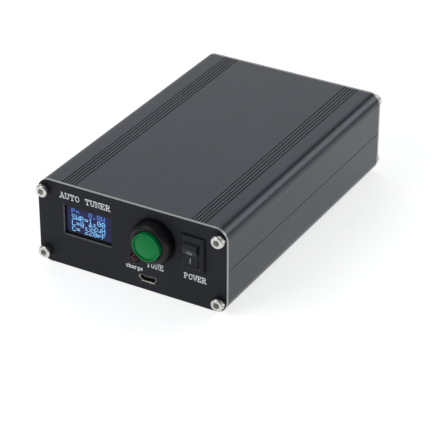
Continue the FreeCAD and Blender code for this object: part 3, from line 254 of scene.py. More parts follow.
def anodised_panel():
    """Fine matt black face; its cut edges and openings show bare metal."""
    finish = Finish("anodised_panel", Specular_IOR_Level=0.13)
    grain = finish.noise((3500, 3500, 3500), detail=3)
    clouds = finish.noise((25, 25, 25), detail=2)
    bare = finish.ramp(finish.facing("Y"), [(0.35, 1.0), (0.5, 0.0)])
    black = finish.ramp(clouds, [(0.3, (0.0145, 0.0152, 0.0205)), (0.7, (0.019, 0.0197, 0.026))])
    milled = finish.noise((900, 9000, 900), detail=3)
    metal = finish.ramp(milled, [(0.3, (0.36, 0.365, 0.36)), (0.7, (0.50, 0.505, 0.49))])
    finish.drive("Base Color", finish.mix(bare, black, metal))
    bare_metallic = 0.55
    bare_roughness = (0.36, 0.36, 0.36)
    finish.drive("Metallic", finish.math("MULTIPLY", bare, bare_metallic))
    matt = finish.ramp(grain, [(0.25, 0.42), (0.75, 0.55)])
    finish.drive("Roughness", finish.mix(bare, matt, bare_roughness))
    finish.bump(grain, 0.015 * MM, 0.3)
    return finish.material


def metal(name, colour, roughness, grain=(1800, 1800, 1800), depth=0.01):
    """Plated or plain metal with faint handling marks."""
    finish = Finish(name, metallic=1.0)
    marks = finish.noise(grain, detail=5)
    stains = finish.noise((260, 260, 260), detail=3)
    tone = finish.ramp(stains, [(0.3, scaled(colour, 0.82)), (0.6, colour)])
    finish.drive("Base Color", tone)
    finish.drive("Roughness", finish.ramp(marks, [(0.3, roughness * 0.75), (0.75, roughness * 1.3)]))
    finish.bump(marks, depth * MM, 0.3)
    return finish.material


def moulded(name, colour, roughness, texture=2200, depth=0.02, **sockets):
    """Moulded plastic or rubber with a fine spark-eroded texture and slight unevenness of tone."""
    finish = Finish(name, **sockets)
    grain = finish.noise((texture,) * 3, detail=3)
    clouds = finish.noise((140,) * 3, detail=3)
    tone = finish.ramp(clouds, [(0.3, scaled(colour, 0.85)), (0.7, scaled(colour, 1.12))])
    finish.drive("Base Color", tone)
    finish.drive("Roughness", finish.ramp(grain, [(0.25, roughness * 0.82), (0.75, roughness * 1.2)]))
    finish.bump(grain, depth * MM, 0.35)
    return finish.material


def wire_insulation(name, colour):
    return moulded(name, colour, 0.45, texture=900, depth=0.02)


def display_glass():
    """Black glass with the display's dark blue field behind it, which has a faint painted glow."""
    glow_strength = 0.8
    finish = Finish("display_glass", Specular_IOR_Level=0.12, Coat_Weight=0.08, Coat_Roughness=0.03)
    field = (("X", centre_of("display_glass").x, 10.9 * MM), ("Z", WINDOW_CENTRE.z, 5.6 * MM))
    inside = None
    for axis, middle, half in field:
        offset = finish.math("ABSOLUTE", finish.math("SUBTRACT", finish.position(axis), middle))
        within = finish.math("LESS_THAN", offset, half)
        inside = within if inside is None else finish.math("MULTIPLY", inside, within)
    haze = finish.noise((120, 120, 120), detail=3)
    blue = finish.ramp(haze, [(0.3, (0.006, 0.007, 0.03)), (0.7, (0.011, 0.011, 0.05))])
    finish.drive("Base Color", finish.mix(inside, (0.004, 0.004, 0.006), blue))
    # painted glow: the field, where no pixels are lit, emits a faint blue
    painted_field_glow = finish.mix(inside, (0.0, 0.0, 0.0), (0.009, 0.010, 0.048))
    finish.drive("Emission Color", painted_field_glow)
    finish.shader.inputs["Emission Strength"].default_value = glow_strength
    smears = finish.noise((400, 400, 60), detail=4)
    finish.drive("Roughness", finish.ramp(smears, [(0.3, 0.05), (0.8, 0.14)]))
    return finish.material


def lit_pixels(name, colour, strength):
    finish = Finish(name)
    flicker = finish.noise((2500, 2500, 2500), detail=1)
    tone = finish.ramp(flicker, [(0.3, scaled(colour, 0.8)), (0.7, colour)])
    finish.drive("Base Color", tone)
    finish.drive("Emission Color", tone)
    finish.shader.inputs["Emission Strength"].default_value = strength
    finish.drive("Roughness", finish.ramp(flicker, [(0.2, 0.2), (0.8, 0.3)]))
    return finish.material


def circuit_board(name, colour):
    """Solder resist over copper, with faint tracks and the weave of the glass cloth."""
    finish = Finish(name, Coat_Weight=0.3, Coat_Roughness=0.2)
    tracks = finish.ramp(finish.cells(260, "DISTANCE_TO_EDGE"), [(0.05, 1.0), (0.09, 0.0)])
    weave = finish.noise((1500, 1500, 300), detail=2)
    base = finish.ramp(weave, [(0.3, scaled(colour, 0.85)), (0.7, scaled(colour, 1.1))])
    finish.drive("Base Color", finish.mix(tracks, base, scaled(colour, 1.7)))
    finish.drive("Roughness", finish.ramp(weave, [(0.3, 0.3), (0.7, 0.42)]))
    finish.bump(tracks, 0.03 * MM, 0.5)
    return finish.material


def wound_copper():
    finish = Finish("enamelled_copper", metallic=1.0, Coat_Weight=0.5, Coat_Roughness=0.12)
    tone = finish.noise((700, 700, 700), detail=3)
    finish.drive("Base Color", finish.ramp(tone, [(0.3, (0.42, 0.13, 0.045)), (0.7, (0.62, 0.24, 0.09))]))
    finish.drive("Roughness", finish.ramp(tone, [(0.3, 0.22), (0.7, 0.35)]))
    finish.bump(tone, 0.01 * MM, 0.2)
    return finish.material


def printed_ink(name, colour):
    """Screen-printed ink, slightly thin in places."""
    finish = Finish(name)
    cover = finish.noise((3000, 3000, 3000), detail=4)
    finish.drive("Base Color", finish.ramp(cover, [(0.25, scaled(colour, 0.65)), (0.5, colour)]))
    finish.drive("Roughness", finish.ramp(cover, [(0.3, 0.45), (0.7, 0.6)]))
    finish.bump(cover, 0.01 * MM, 0.3)
    return finish.material


def studio_floor():
    """Pale paper with a strong glow of its own, so that it stays near white in the shadows."""
    glow_strength = 0.8
    finish = Finish("studio_floor")
    paper = finish.noise((700, 700, 700), detail=3)
    tone = finish.ramp(paper, [(0.3, (0.82, 0.82, 0.82)), (0.7, (0.86, 0.86, 0.86))])
    finish.drive("Base Color", tone)
    finish.drive("Emission Color", tone)
    finish.shader.inputs["Emission Strength"].default_value = glow_strength
    finish.drive("Roughness", finish.ramp(paper, [(0.3, 0.7), (0.7, 0.85)]))
    return finish.material


# middle of the display window
WINDOW_CENTRE = Vector((-20.7, 0, 21.6)) * MM
PIXEL_GLOW = 0.8

FINISHES = {
    "anodised_case": anodised_case(),
    "anodised_panel": anodised_panel(),
    "bare_aluminium": metal("bare_aluminium", (0.62, 0.63, 0.62), 0.3, (900, 9000, 900)),
    "plated_steel": metal("plated_steel", (0.66, 0.65, 0.62), 0.24),
    "nickel_plate": metal("nickel_plate", (0.66, 0.64, 0.60), 0.14),
    "spring_steel": metal("spring_steel", (0.46, 0.46, 0.47), 0.3),
    "contact_brass": metal("contact_brass", (0.72, 0.50, 0.22), 0.26),
    "gold_contact": metal("gold_contact", (0.85, 0.60, 0.24), 0.2),
    "tinned_wire": metal("tinned_wire", (0.70, 0.70, 0.69), 0.3),
    "enamelled_copper": wound_copper(),
    "green_cap": moulded("green_cap", (0.002, 0.215, 0.052), 0.26, 1500, 0.008, Specular_IOR_Level=0.14),
    "gloss_black": moulded("gloss_black", (0.004, 0.004, 0.0055), 0.38, 1600, 0.01, Specular_IOR_Level=0.26),
    "switch_black": moulded("switch_black", (0.010, 0.0108, 0.0135), 0.45, 2600, Specular_IOR_Level=0.22),
    "black_moulding": moulded("black_moulding", (0.014, 0.014, 0.015), 0.5),
    "black_foam": moulded("black_foam", (0.012, 0.012, 0.012), 0.85, 1400, 0.12),
    "white_moulding": moulded("white_moulding", (0.72, 0.70, 0.62), 0.45),
    "white_insulator": moulded("white_insulator", (0.8, 0.8, 0.77), 0.38, 1400, 0.01, Subsurface_Weight=0.1),
    "red_lens": moulded("red_lens", (0.035, 0.006, 0.007), 0.14, 800, 0.004, Specular_IOR_Level=0.2),
    "relay_case": moulded("relay_case", (0.02, 0.06, 0.24), 0.35, 1800, 0.015),
    "capacitor_brown": moulded("capacitor_brown", (0.28, 0.17, 0.09), 0.5, 1800, 0.02),
    "iron_powder": moulded("iron_powder", (0.42, 0.02, 0.018), 0.42, 1300, 0.04),
    "ferrite": moulded("ferrite", (0.035, 0.035, 0.038), 0.55, 1600, 0.04),
    "battery_foil": moulded("battery_foil", (0.22, 0.27, 0.33), 0.4, 700, 0.05),
    "wire_black": wire_insulation("wire_black", (0.015, 0.015, 0.016)),
    "wire_red": wire_insulation("wire_red", (0.42, 0.012, 0.012)),
    "wire_white": wire_insulation("wire_white", (0.74, 0.74, 0.71)),
    "blue_board": circuit_board("blue_board", (0.008, 0.035, 0.16)),
    "green_board": circuit_board("green_board", (0.008, 0.11, 0.035)),
    "display_glass": display_glass(),
    "display_pixels": lit_pixels("display_pixels", (0.20, 0.52, 0.90), PIXEL_GLOW),
    "label_ink": printed_ink("label_ink", (0.86, 0.87, 0.88)),
    "grey_ink": printed_ink("grey_ink", (0.36, 0.38, 0.40)),
}
DIM_PIXELS = lit_pixels("dim_pixels", (0.05, 0.17, 0.55), PIXEL_GLOW)


# ---- mesh helpers ----
SAME_PLACE = 0.0005 * MM
SAME_LEVEL = 0.01 * MM


def add_loft(bm, rows, closed_rows=True, joined_ends=False):
    """Joins rows of points with faces. A row of one point closes that end; so does a flat cap."""
    made = [[bm.verts.new(point) for point in row] for row in rows]
    pairs = list(zip(made, made[1:]))
    if joined_ends:
        pairs.append((made[-1], made[0]))
    for one, two in pairs:
        count = max(len(one), len(two))
        last = count if closed_rows else count - 1
        for step in range(last):
            after = (step + 1) % count
            if len(one) == 1:
                bm.faces.new((one[0], two[step], two[after]))
            elif len(two) == 1:
                bm.faces.new((one[step], one[after], two[0]))
            else:
                bm.faces.new((one[step], one[after], two[after], two[step]))
    if not joined_ends:
        for row in (made[0], made[-1]):
            if len(row) > 2:
                bm.faces.new(row)


def at(value, angle):
    return value(angle) if callable(value) else value


def ring(centre, y, radius, segments):
    """Points round a line along Y; y and radius may each be a function of the angle."""
    if radius == 0:
        return [Vector((centre.x, y, centre.z))]
    points = []
    for step in range(segments):
        angle = math.tau * step / segments
        reach = at(radius, angle)
        points.append(Vector((
            centre.x + reach * math.cos(angle), at(y, angle), centre.z + reach * math.sin(angle)
        )))
    return points


def add_turned(bm, centre, profile, segments=72, joined_ends=False):
    add_loft(bm, [ring(centre, y, radius, segments) for y, radius in profile], joined_ends=joined_ends)


def rounded(corners, steps=5):
    """Outline through (along, across, rounding) corners, each rounded by its own radius."""
    points = []
    for index, (along, across, rounding) in enumerate(corners):
        corner = Vector((along, across))
        if not rounding or index in (0, len(corners) - 1):
            points.append(tuple(corner))
            continue
        back = (Vector(corners[index - 1][:2]) - corner).normalized()
        ahead = (Vector(corners[index + 1][:2]) - corner).normalized()
        half = back.angle(ahead) / 2
        middle = corner + (back + ahead).normalized() * rounding / math.sin(half)
        start = corner + back * rounding / math.tan(half) - middle
        sweep = start.angle_signed(corner + ahead * rounding / math.tan(half) - middle)
        for step in range(steps + 1):
            turned = start.copy()
            turned.rotate(Matrix.Rotation(-sweep * step / steps, 2))
            points.append(tuple(middle + turned))
    return points


def add_thread(bm, centre, start, end, crest, depth, pitch, bore=0.0, segments=48):
    """Helical thread between two places along Y, with a bore through it or solid."""
    rows_per_turn = 4
    steepness, root_width = 1.8, 0.4
    turns = math.ceil((end - start) / pitch)
    count = (turns + 2) * rows_per_turn
    grid = []
    for step in range(segments):
        column = []
        for row in range(count + 1):
            turn = row / rows_per_turn + step / segments - 1
            y = min(max(start + pitch * turn, start), end)
            ridge = 1 - abs(2 * (turn % 1) - 1)
            fade = min(1, 2 * (y - start) / pitch, 2 * (end - y) / pitch)
            radius = crest - depth + depth * fade * min(1, max(0, steepness * ridge - root_width))
            angle = math.tau * step / segments
            place = (centre.x + radius * math.cos(angle), y, centre.z + radius * math.sin(angle))
            column.append(bm.verts.new(place))
        grid.append(column)
    for step in range(segments):
        wrap = step + 1 == segments
        after = grid[0] if wrap else grid[step + 1]
        shift = rows_per_turn if wrap else 0
        for row in range(count - shift):
            one, two = grid[step][row], grid[step][row + 1]
            bm.faces.new((one, after[row + shift], after[row + shift + 1], two))
    fresh = [vertex for column in grid for vertex in column]
    bmesh.ops.remove_doubles(bm, verts=fresh, dist=SAME_PLACE)
    rims = [edge for edge in bm.edges if edge.is_boundary]
    if not bore:
        bmesh.ops.holes_fill(bm, edges=rims)
        return
    inner = [ring(centre, y, bore, segments) for y in (start, end)]
    liner = [[bm.verts.new(point) for point in row] for row in inner]
    for step in range(segments):
        after = (step + 1) % segments
        bm.faces.new((liner[0][step], liner[0][after], liner[1][after], liner[1][step]))
    rim_vertices = {vertex for edge in rims for vertex in edge.verts}
    for y, inside in zip((start, end), liner):
        outside = {}
        for vertex in rim_vertices:
            if abs(vertex.co.y - y) < SAME_LEVEL:
                angle = math.atan2(vertex.co.z - centre.z, vertex.co.x - centre.x)
                outside[round(angle / math.tau * segments) % segments] = vertex
        for step in range(segments):
            after = (step + 1) % segments
            bm.faces.new((inside[step], inside[after], outside[after], outside[step]))


def add_block(bm, low, high, bevel):
    """Box with rounded edges."""
    size = high - low
    place = Matrix.Translation((low + high) / 2) @ Matrix.Diagonal((*size, 1))
    made = bmesh.ops.create_cube(bm, size=1, matrix=place)
    edges = {edge for vertex in made["verts"] for edge in vertex.link_edges}
    bmesh.ops.bevel(bm, geom=list(edges), offset=bevel, segments=2, affect="EDGES")


def add_piece(name, bm, slot, body="case", replaced=(), material=None, sharp=35):
    """Turns the mesh into a piece of the object with its finish, body and CAD nodes."""
    bmesh.ops.recalc_face_normals(bm, faces=bm.faces)
    mesh = bpy.data.meshes.new(name)
    bm.to_mesh(mesh)
    bm.free()
    mesh.shade_smooth()
    mesh.set_sharp_from_angle(angle=math.radians(sharp))
    mesh.materials.append(material or FINISHES[slot])
    piece = bpy.data.objects.new(name, mesh)
    bpy.context.collection.objects.link(piece)
    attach(piece, body)
    if replaced:
        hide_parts(*replaced)
    return piece


WELD_DISTANCE = 0.001 * MM
BEVEL_ABOVE = math.radians(60)
SPLIT_ABOVE = math.radians(21)


def soften(node, width):
    """Rounds a carried-over CAD node's sharp edges with modifiers. Width 0 leaves them crisp."""
    target = NODES[node]
    weld = target.modifiers.new("weld", "WELD")
    weld.merge_threshold = WELD_DISTANCE
    if width:
        bevel = target.modifiers.new("bevel", "BEVEL")
        bevel.width = width
        bevel.segments = 2
        bevel.limit_method = "ANGLE"
        bevel.angle_limit = BEVEL_ABOVE
        bevel.use_clamp_overlap = True
    split = target.modifiers.new("split", "EDGE_SPLIT")
    split.use_edge_sharp = False
    split.split_angle = SPLIT_ABOVE


# ---- corner screws ----
HEAD_RADIUS = 2.75 * MM
HEAD_HEIGHT = 3.0 * MM
KEY_ACROSS_FLATS = 2.5 * MM
KEY_DEPTH = 1.5 * MM
KEY_CHAMFER = 0.1 * MM
DRILL_POINT = 0.3 * MM
KNURLS = 36
KNURL_DEPTH = 0.16 * MM
KNURL_RUNOUT = 0.1 * MM
SEAT_EDGE = (0.25 * MM, 0.2 * MM)
# the head's rounded rim: depth below its top and inset from its side at each point
HEAD_RIM = ((0.35 * MM, 0.14 * MM), (0.12 * MM, 0.3 * MM), (0.0, 0.55 * MM))
SCREW_RADIUS = 1.5 * MM
SCREW_THREAD_DEPTH = 0.28 * MM
SCREW_PITCH = 0.5 * MM


def knurled(radius, depth):
    return lambda angle: radius - depth * (0.5 - 0.5 * math.cos(KNURLS * angle))


def hexagon(across_flats):
    """Radius of a hexagon at each angle."""
    def radius(angle):
        return across_flats / 2 / math.cos((angle + math.pi / 6) % (math.pi / 3) - math.pi / 6)
    return radius


def corner_places(node):
    """The four screws' axes, from the box round their heads."""
    low, high = corners_of(node)
    xs = (low.x + HEAD_RADIUS, high.x - HEAD_RADIUS)
    zs = (low.z + HEAD_RADIUS, high.z - HEAD_RADIUS)
    return [Vector((x, 0, z)) for x in xs for z in zs]


def add_cap_screw(name, node, place, face, outward):
    """Socket head cap screw with a knurled head, rounded rims and a hexagon socket."""
    key = hexagon(KEY_ACROSS_FLATS)
    knurl = knurled(HEAD_RADIUS, KNURL_DEPTH)
    edge_inset, edge_rise = SEAT_EDGE

    def level(height):
        return face + outward * height

    head = [
        (face, 0.0),
        (face, HEAD_RADIUS - edge_inset),
        (level(edge_rise), knurl),
        (level(HEAD_HEIGHT - HEAD_RIM[0][0] - KNURL_RUNOUT), knurl),
    ]
    head += [(level(HEAD_HEIGHT - depth), HEAD_RADIUS - inset) for depth, inset in HEAD_RIM]
    head += [
        (level(HEAD_HEIGHT), hexagon(KEY_ACROSS_FLATS + 2 * KEY_CHAMFER)),
        (level(HEAD_HEIGHT - KEY_CHAMFER), key),
        (level(HEAD_HEIGHT - KEY_DEPTH), key),
        (level(HEAD_HEIGHT - KEY_DEPTH - DRILL_POINT), 0.0),
    ]
    bm = bmesh.new()
    add_turned(bm, place, head, segments=144)
    length = high_of(node).y - low_of(node).y - HEAD_HEIGHT
    ends = sorted((face, level(-length)))
    add_thread(bm, place, *ends, SCREW_RADIUS, SCREW_THREAD_DEPTH, SCREW_PITCH, segments=24)
    add_piece(name, bm, "plated_steel", replaced=[node])


def add_corner_screws():
    for node, face, outward in (("front_panel_screws", FRONT_FACE, -1), ("rear_panel_screws", BACK_FACE, 1)):
        side = "front" if outward < 0 else "rear"
        for number, place in enumerate(corner_places(node)):
            add_cap_screw(f"{side}_cap_screw_{number}", node, place, face, outward)


# ---- tune button ----
def add_tune_cap():
    """Green cap: domed face inside a thin rounded rim, hollow behind."""
    low, high = corners_of("tune_button_cap")
    radius = (high.z - low.z) / 2
    front, back = low.y, high.y
    skin, stem = 1.2 * MM, 1.6 * MM
    dome_radius, dome_depth = radius - 0.75 * MM, 0.95 * MM
    rim_top, rim_foot = front + 0.4 * MM, front + 0.65 * MM
    rim_inner, rim_outer = radius - 0.55 * MM, radius - 0.15 * MM
    inner_rounding, outer_rounding = 0.15 * MM, 0.12 * MM
    steps = 12
    dome = [(front + dome_depth * (step / steps) ** 2, dome_radius * step / steps) for step in range(steps)]
    face = dome + rounded([
        (front + dome_depth, dome_radius, 0),
        (rim_top, rim_inner, inner_rounding),
        (rim_top, rim_outer, outer_rounding),
        (rim_foot, radius, outer_rounding),
        (back, radius, 0),
    ])
    inside = [
        (back, radius - skin),
        (front + 2 * skin, radius - skin),
        (front + 2 * skin, stem),
        (front + 3 * skin, stem),
        (front + 3 * skin, 0.0),
    ]
    bm = bmesh.new()
    add_turned(bm, centre_of("tune_button_cap"), face + inside, segments=96)
    add_piece("tune_cap", bm, "green_cap", "tune_button", ["tune_button_cap"])


COLLAR_HEIGHT = 5.3 * MM
COLLAR_LIP = 6.85 * MM
BUTTON_BORE = 6.45 * MM
BARREL_RADIUS = 7.9 * MM
BARREL_LENGTH = 15 * MM
HOUSING_RADIUS = 7.0 * MM
HOUSING_BORE = 5.9 * MM
HOUSING_WALL = 1.4 * MM


def tune_collar(base):
    """Profile of the domed collar and the guide behind it."""
    mouth = FRONT_FACE - COLLAR_HEIGHT
    guide_front = FRONT_FACE + 4.7 * MM
    guide_back = guide_front + 1.4 * MM
    guide_bore = 1.7 * MM
    mouth_rounding = 0.25 * MM
    rise_power, reach_power = 1.08, 0.8
    steps = 14
    dome = []
    for step in range(steps + 1):
        sweep = math.pi / 2 * step / steps
        rise = math.sin(sweep) ** rise_power
        reach = math.cos(sweep) ** reach_power
        dome.append((FRONT_FACE - COLLAR_HEIGHT * rise, COLLAR_LIP + (base - COLLAR_LIP) * reach))
    inside = rounded([
        (mouth, COLLAR_LIP, 0),
        (mouth, BUTTON_BORE, mouth_rounding),
        (guide_front, BUTTON_BORE, 0),
    ])
    guide = [(guide_front, guide_bore), (guide_back, guide_bore), (guide_back, BUTTON_BORE)]
    return [(FRONT_FACE, BUTTON_BORE)] + dome + inside[1:] + guide


def add_tune_body():
    """Domed collar, threaded barrel and rear housing of the push button."""
    node = "tune_button_body"
    centre = centre_of(node)
    low, high = corners_of(node)
    barrel_back = FRONT_FACE + BARREL_LENGTH
    barrel = {"crest": BARREL_RADIUS, "depth": 0.5 * MM, "pitch": 1.0 * MM, "bore": 6.6 * MM}
    runout = 0.2 * MM
    shoulder_rounding, end_rounding = 0.2 * MM, 0.4 * MM
    end_wall = high.y - HOUSING_WALL
    bm = bmesh.new()
    add_turned(bm, centre, tune_collar((high.z - low.z) / 2), segments=120, joined_ends=True)
    add_thread(bm, centre, FRONT_FACE + runout, barrel_back, segments=72, **barrel)
    housing = [(end_wall, 0.0), (end_wall, HOUSING_BORE)] + rounded([
        (barrel_back, HOUSING_BORE, 0),
        (barrel_back, HOUSING_RADIUS, shoulder_rounding),
        (high.y, HOUSING_RADIUS, end_rounding),
        (high.y, 0.0, 0),
    ])
    add_turned(bm, centre, housing, segments=72)
    add_piece("tune_body", bm, "gloss_black", replaced=[node])


# ---- power switch ----
def on_paddle(tree, x, z, lift):
    """The point of the rocker's front at x and z, raised off its surface."""
    well_in_front = 20 * MM
    start = Vector((x, FRONT_FACE - well_in_front, z))
    place, normal, _, _ = tree.ray_cast(start, Vector((0, 1, 0)))
    if normal.y > 0:
        normal.negate()
    return place + normal * lift


def add_switch_marks():
    """Printed O on the upper half of the rocker and I on the lower half."""
    mesh = NODES["power_switch_rocker"].data
    corners = [vertex.co for vertex in mesh.vertices]
    tree = BVHTree.FromPolygons(corners, [face.vertices for face in mesh.polygons])
    middle = centre_of("power_switch_frame").z
    x = centre_of("power_switch_rocker").x - 0.2 * MM
    stroke = 0.34 * MM
    sunk, proud = -0.05 * MM, 0.03 * MM
    profile = ((0, sunk), (0, proud), (stroke, proud), (stroke, sunk))
    half_width, half_height = 1.15 * MM, 0.9 * MM
    ring_middle = middle + 0.15 * MM + half_height
    bar_top, bar_length = middle - 1.6 * MM, 2.2 * MM
    segments = 40
    rows = []
    for step in range(segments):
        angle = math.tau * step / segments
        row = []
        for inset, lift in profile:
            across = (half_width - inset) * math.cos(angle)
            up = (half_height - inset) * math.sin(angle)
            row.append(on_paddle(tree, x + across, ring_middle + up, lift))
        rows.append(row)
    bm = bmesh.new()
    add_loft(bm, rows, joined_ends=True)
    add_piece("rocker_off_mark", bm, "label_ink", "power_rocker", material=FINISHES["grey_ink"])
    steps = 6
    rows = []
    for step in range(steps + 1):
        z = bar_top - bar_length * step / steps
        rows.append([on_paddle(tree, x + inset - stroke / 2, z, lift) for inset, lift in profile])
    bm = bmesh.new()
    add_loft(bm, rows)
    add_piece("rocker_on_mark", bm, "label_ink", "power_rocker", material=FINISHES["grey_ink"])


# ---- charge lamp and charging socket ----
def add_charge_lamp():
    """Round lamp: domed lens, straight body and the flange at its base."""
    node = "charge_led"
    low, high = corners_of(node)
    flange_rim, flange_thickness, body_length = 0.45 * MM, 1.0 * MM, 3 * MM
    inner_rounding, outer_rounding = 0.1 * MM, 0.15 * MM
    flange = (high.z - low.z) / 2
    radius = flange - flange_rim
    steps = 12
    dome = [(low.y, 0.0)]
    for step in range(1, steps + 1):
        sweep = math.pi / 2 * step / steps
        dome.append((low.y + radius * (1 - math.cos(sweep)), radius * math.sin(sweep)))
    base = rounded([
        (high.y - body_length, radius, 0),
        (high.y - flange_thickness, radius, inner_rounding),
        (high.y - flange_thickness, flange, outer_rounding),
        (high.y, flange, outer_rounding),
        (high.y, 0.0, 0),
    ])
    bm = bmesh.new()
    add_turned(bm, centre_of(node), dome + base, segments=64)
    add_piece("charge_lamp", bm, "red_lens", replaced=[node])


SHEET = 0.22 * MM
# the shell's lips: place behind the front and growth of the outline, outside and then inside
FLARE_OUTSIDE = ((0.0, 0.14 * MM), (0.3 * MM, 0.09 * MM), (0.7 * MM, 0.03 * MM), (1.1 * MM, 0.0))
FLARE_INSIDE = (
    (1.1 * MM, -SHEET), (0.5 * MM, -SHEET + 0.02 * MM), (0.12 * MM, -0.1 * MM), (-0.04 * MM, 0.04 * MM),
)


def socket_outline(centre, width, height, grow, y):
    """Micro-USB outline: flat top, rounded upper corners and slanted lower sides."""
    half = width / 2 + grow
    top = height / 2 + grow
    corner = 0.5 * MM + grow / 2
    waist, slant, closing_gap = -0.1 * MM, 1.1 * MM, 0.01 * MM
    shape = rounded([
        (0, top, 0), (half, top, corner), (half, waist, corner), (half - slant, -top, corner),
        (-half + slant, -top, corner), (-half, waist, corner), (-half, top, corner), (-closing_gap, top, 0),
    ])
    return [Vector((centre.x + across, y, centre.z + up)) for across, up in shape]


def add_charging_socket():
    """Sheet metal shell with flared lips, and gold contacts on the tongue."""
    node = "usb_socket_shell"
    low, high = corners_of(node)
    centre = centre_of(node)
    width, height = high.x - low.x, high.z - low.z
    sections = [(low.y + behind, grow) for behind, grow in FLARE_OUTSIDE]
    sections += [(high.y, 0.0), (high.y, -SHEET)]
    sections += [(low.y + behind, grow) for behind, grow in FLARE_INSIDE]
    bm = bmesh.new()
    rows = [socket_outline(centre, width, height, grow, y) for y, grow in sections]
    add_loft(bm, rows, joined_ends=True)
    add_piece("charging_socket_shell", bm, "plated_steel", replaced=[node])
    front = low_of("usb_socket_tongue").y + 0.15 * MM
    back = high_of("usb_socket_tongue").y - 1.3 * MM
    bottom, top = centre.z + 0.19 * MM, centre.z + 0.27 * MM
    contacts = 5
    pitch = 0.65 * MM
    strip = 0.17 * MM
    edge = 0.02 * MM
    bm = bmesh.new()
    for number in range(contacts):
        x = centre.x + (number - (contacts - 1) / 2) * pitch
        add_block(bm, Vector((x - strip, front, bottom)), Vector((x + strip, back, top)), edge)
    add_piece("charging_socket_contacts", bm, "gold_contact")


# ---- rear sockets ----
SOCKET_SIDES = ("antenna", "radio")
FLANGE_THICKNESS = 1.6 * MM
FLANGE_CORNER = 1.5 * MM
FLANGE_CHAMFER = 0.3 * MM
SOCKET_BORE = 5.6 * MM
MOUTH_RADIUS = 6.1 * MM
REAR_BARREL_RADIUS = 6.5 * MM
INSULATOR_SETBACK = 8.0 * MM
THREAD_CREST = 7.94 * MM
THREAD_DEPTH = 0.62 * MM
THREAD_BORE = 6.6 * MM
THREAD_PITCH = 25.4 / 24 * MM
NECK = 0.8 * MM
RIM_LENGTH = 1.6 * MM
RIM_RADIUS = THREAD_CREST - 0.3 * MM
NOTCHES = 4
NOTCH_DEPTH = 0.9 * MM
NOTCH_HALF_WIDTH = 0.07
EDGE = 0.2 * MM


def rounded_square(half, corner):
    """Radius of a rounded square at each angle."""
    inner = half - corner

    def radius(angle):
        across, up = abs(math.cos(angle)), abs(math.sin(angle))
        straight = half / max(across, up)
        if straight * min(across, up) <= inner:
            return straight
        lean = inner * (across + up)
        return lean + math.sqrt(lean * lean - 2 * inner * inner + corner * corner)
    return radius


def notched(y):
    """Rim with four square notches. Their half width is a share of the pitch between notches."""
    def place(angle):
        turn = (angle * NOTCHES / math.tau + 0.5) % 1
        return y - NOTCH_DEPTH if abs(turn - 0.5) < NOTCH_HALF_WIDTH else y
    return place


def add_coax_socket(side, body_node):
    """Threaded coaxial socket: chamfered flange, 5/8 inch thread and notched mouth."""
    low, high = corners_of(body_node)
    centre = centre_of(body_node)
    half = (high.x - low.x) / 2
    seat = BACK_FACE + FLANGE_THICKNESS
    insulator_front = high.y - INSULATOR_SETBACK
    thread_end = high.y - RIM_LENGTH
    root = THREAD_CREST - THREAD_DEPTH
    flange_edge = rounded_square(half, FLANGE_CORNER)
    flange_face = rounded_square(half - FLANGE_CHAMFER, FLANGE_CORNER - 0.1 * MM)
    neck_radius, neck_overlap = THREAD_CREST - 0.6 * MM, 0.1 * MM
    rim_rounding, rim_inset = 0.25 * MM, 0.55 * MM
    flange = [
        (BACK_FACE, SOCKET_BORE), (BACK_FACE, flange_edge), (seat - FLANGE_CHAMFER, flange_edge),
        (seat, flange_face), (seat, SOCKET_BORE),
    ]
    sleeve = [
        (seat - EDGE, SOCKET_BORE), (seat - EDGE, neck_radius), (seat + NECK + neck_overlap, neck_radius),
        (thread_end - neck_overlap, root), (thread_end, RIM_RADIUS),
        (notched(high.y - rim_rounding), RIM_RADIUS), (notched(high.y), THREAD_CREST - rim_inset),
        (notched(high.y), MOUTH_RADIUS + EDGE), (notched(high.y - EDGE), MOUTH_RADIUS),
        (insulator_front, MOUTH_RADIUS), (insulator_front, SOCKET_BORE),
    ]
    barrel = [
        (low.y, SOCKET_BORE), (low.y, REAR_BARREL_RADIUS - EDGE), (low.y + EDGE, REAR_BARREL_RADIUS),
        (BACK_FACE, REAR_BARREL_RADIUS), (BACK_FACE, SOCKET_BORE),
    ]
    thread = (THREAD_CREST, THREAD_DEPTH, THREAD_PITCH, THREAD_BORE)
    bm = bmesh.new()
    add_turned(bm, centre, flange, segments=144, joined_ends=True)
    add_thread(bm, centre, seat + NECK, thread_end, *thread, segments=96)
    add_turned(bm, centre, sleeve, segments=144, joined_ends=True)
    add_turned(bm, centre, barrel, segments=72, joined_ends=True)
    add_piece(f"{side}_coax_shell", bm, "nickel_plate", replaced=[body_node], sharp=30)


CONTACT_BORE = 2.0 * MM
SLIT_DEPTH = 6.0 * MM
CUP_RADIUS = 0.9 * MM
CUP_DEPTH = 3 * MM
BORE_DEPTH = 14 * MM
BORE_POINT = 0.8 * MM
CONTACT_SPRINGS = 4
HALF_SLIT = math.radians(9)


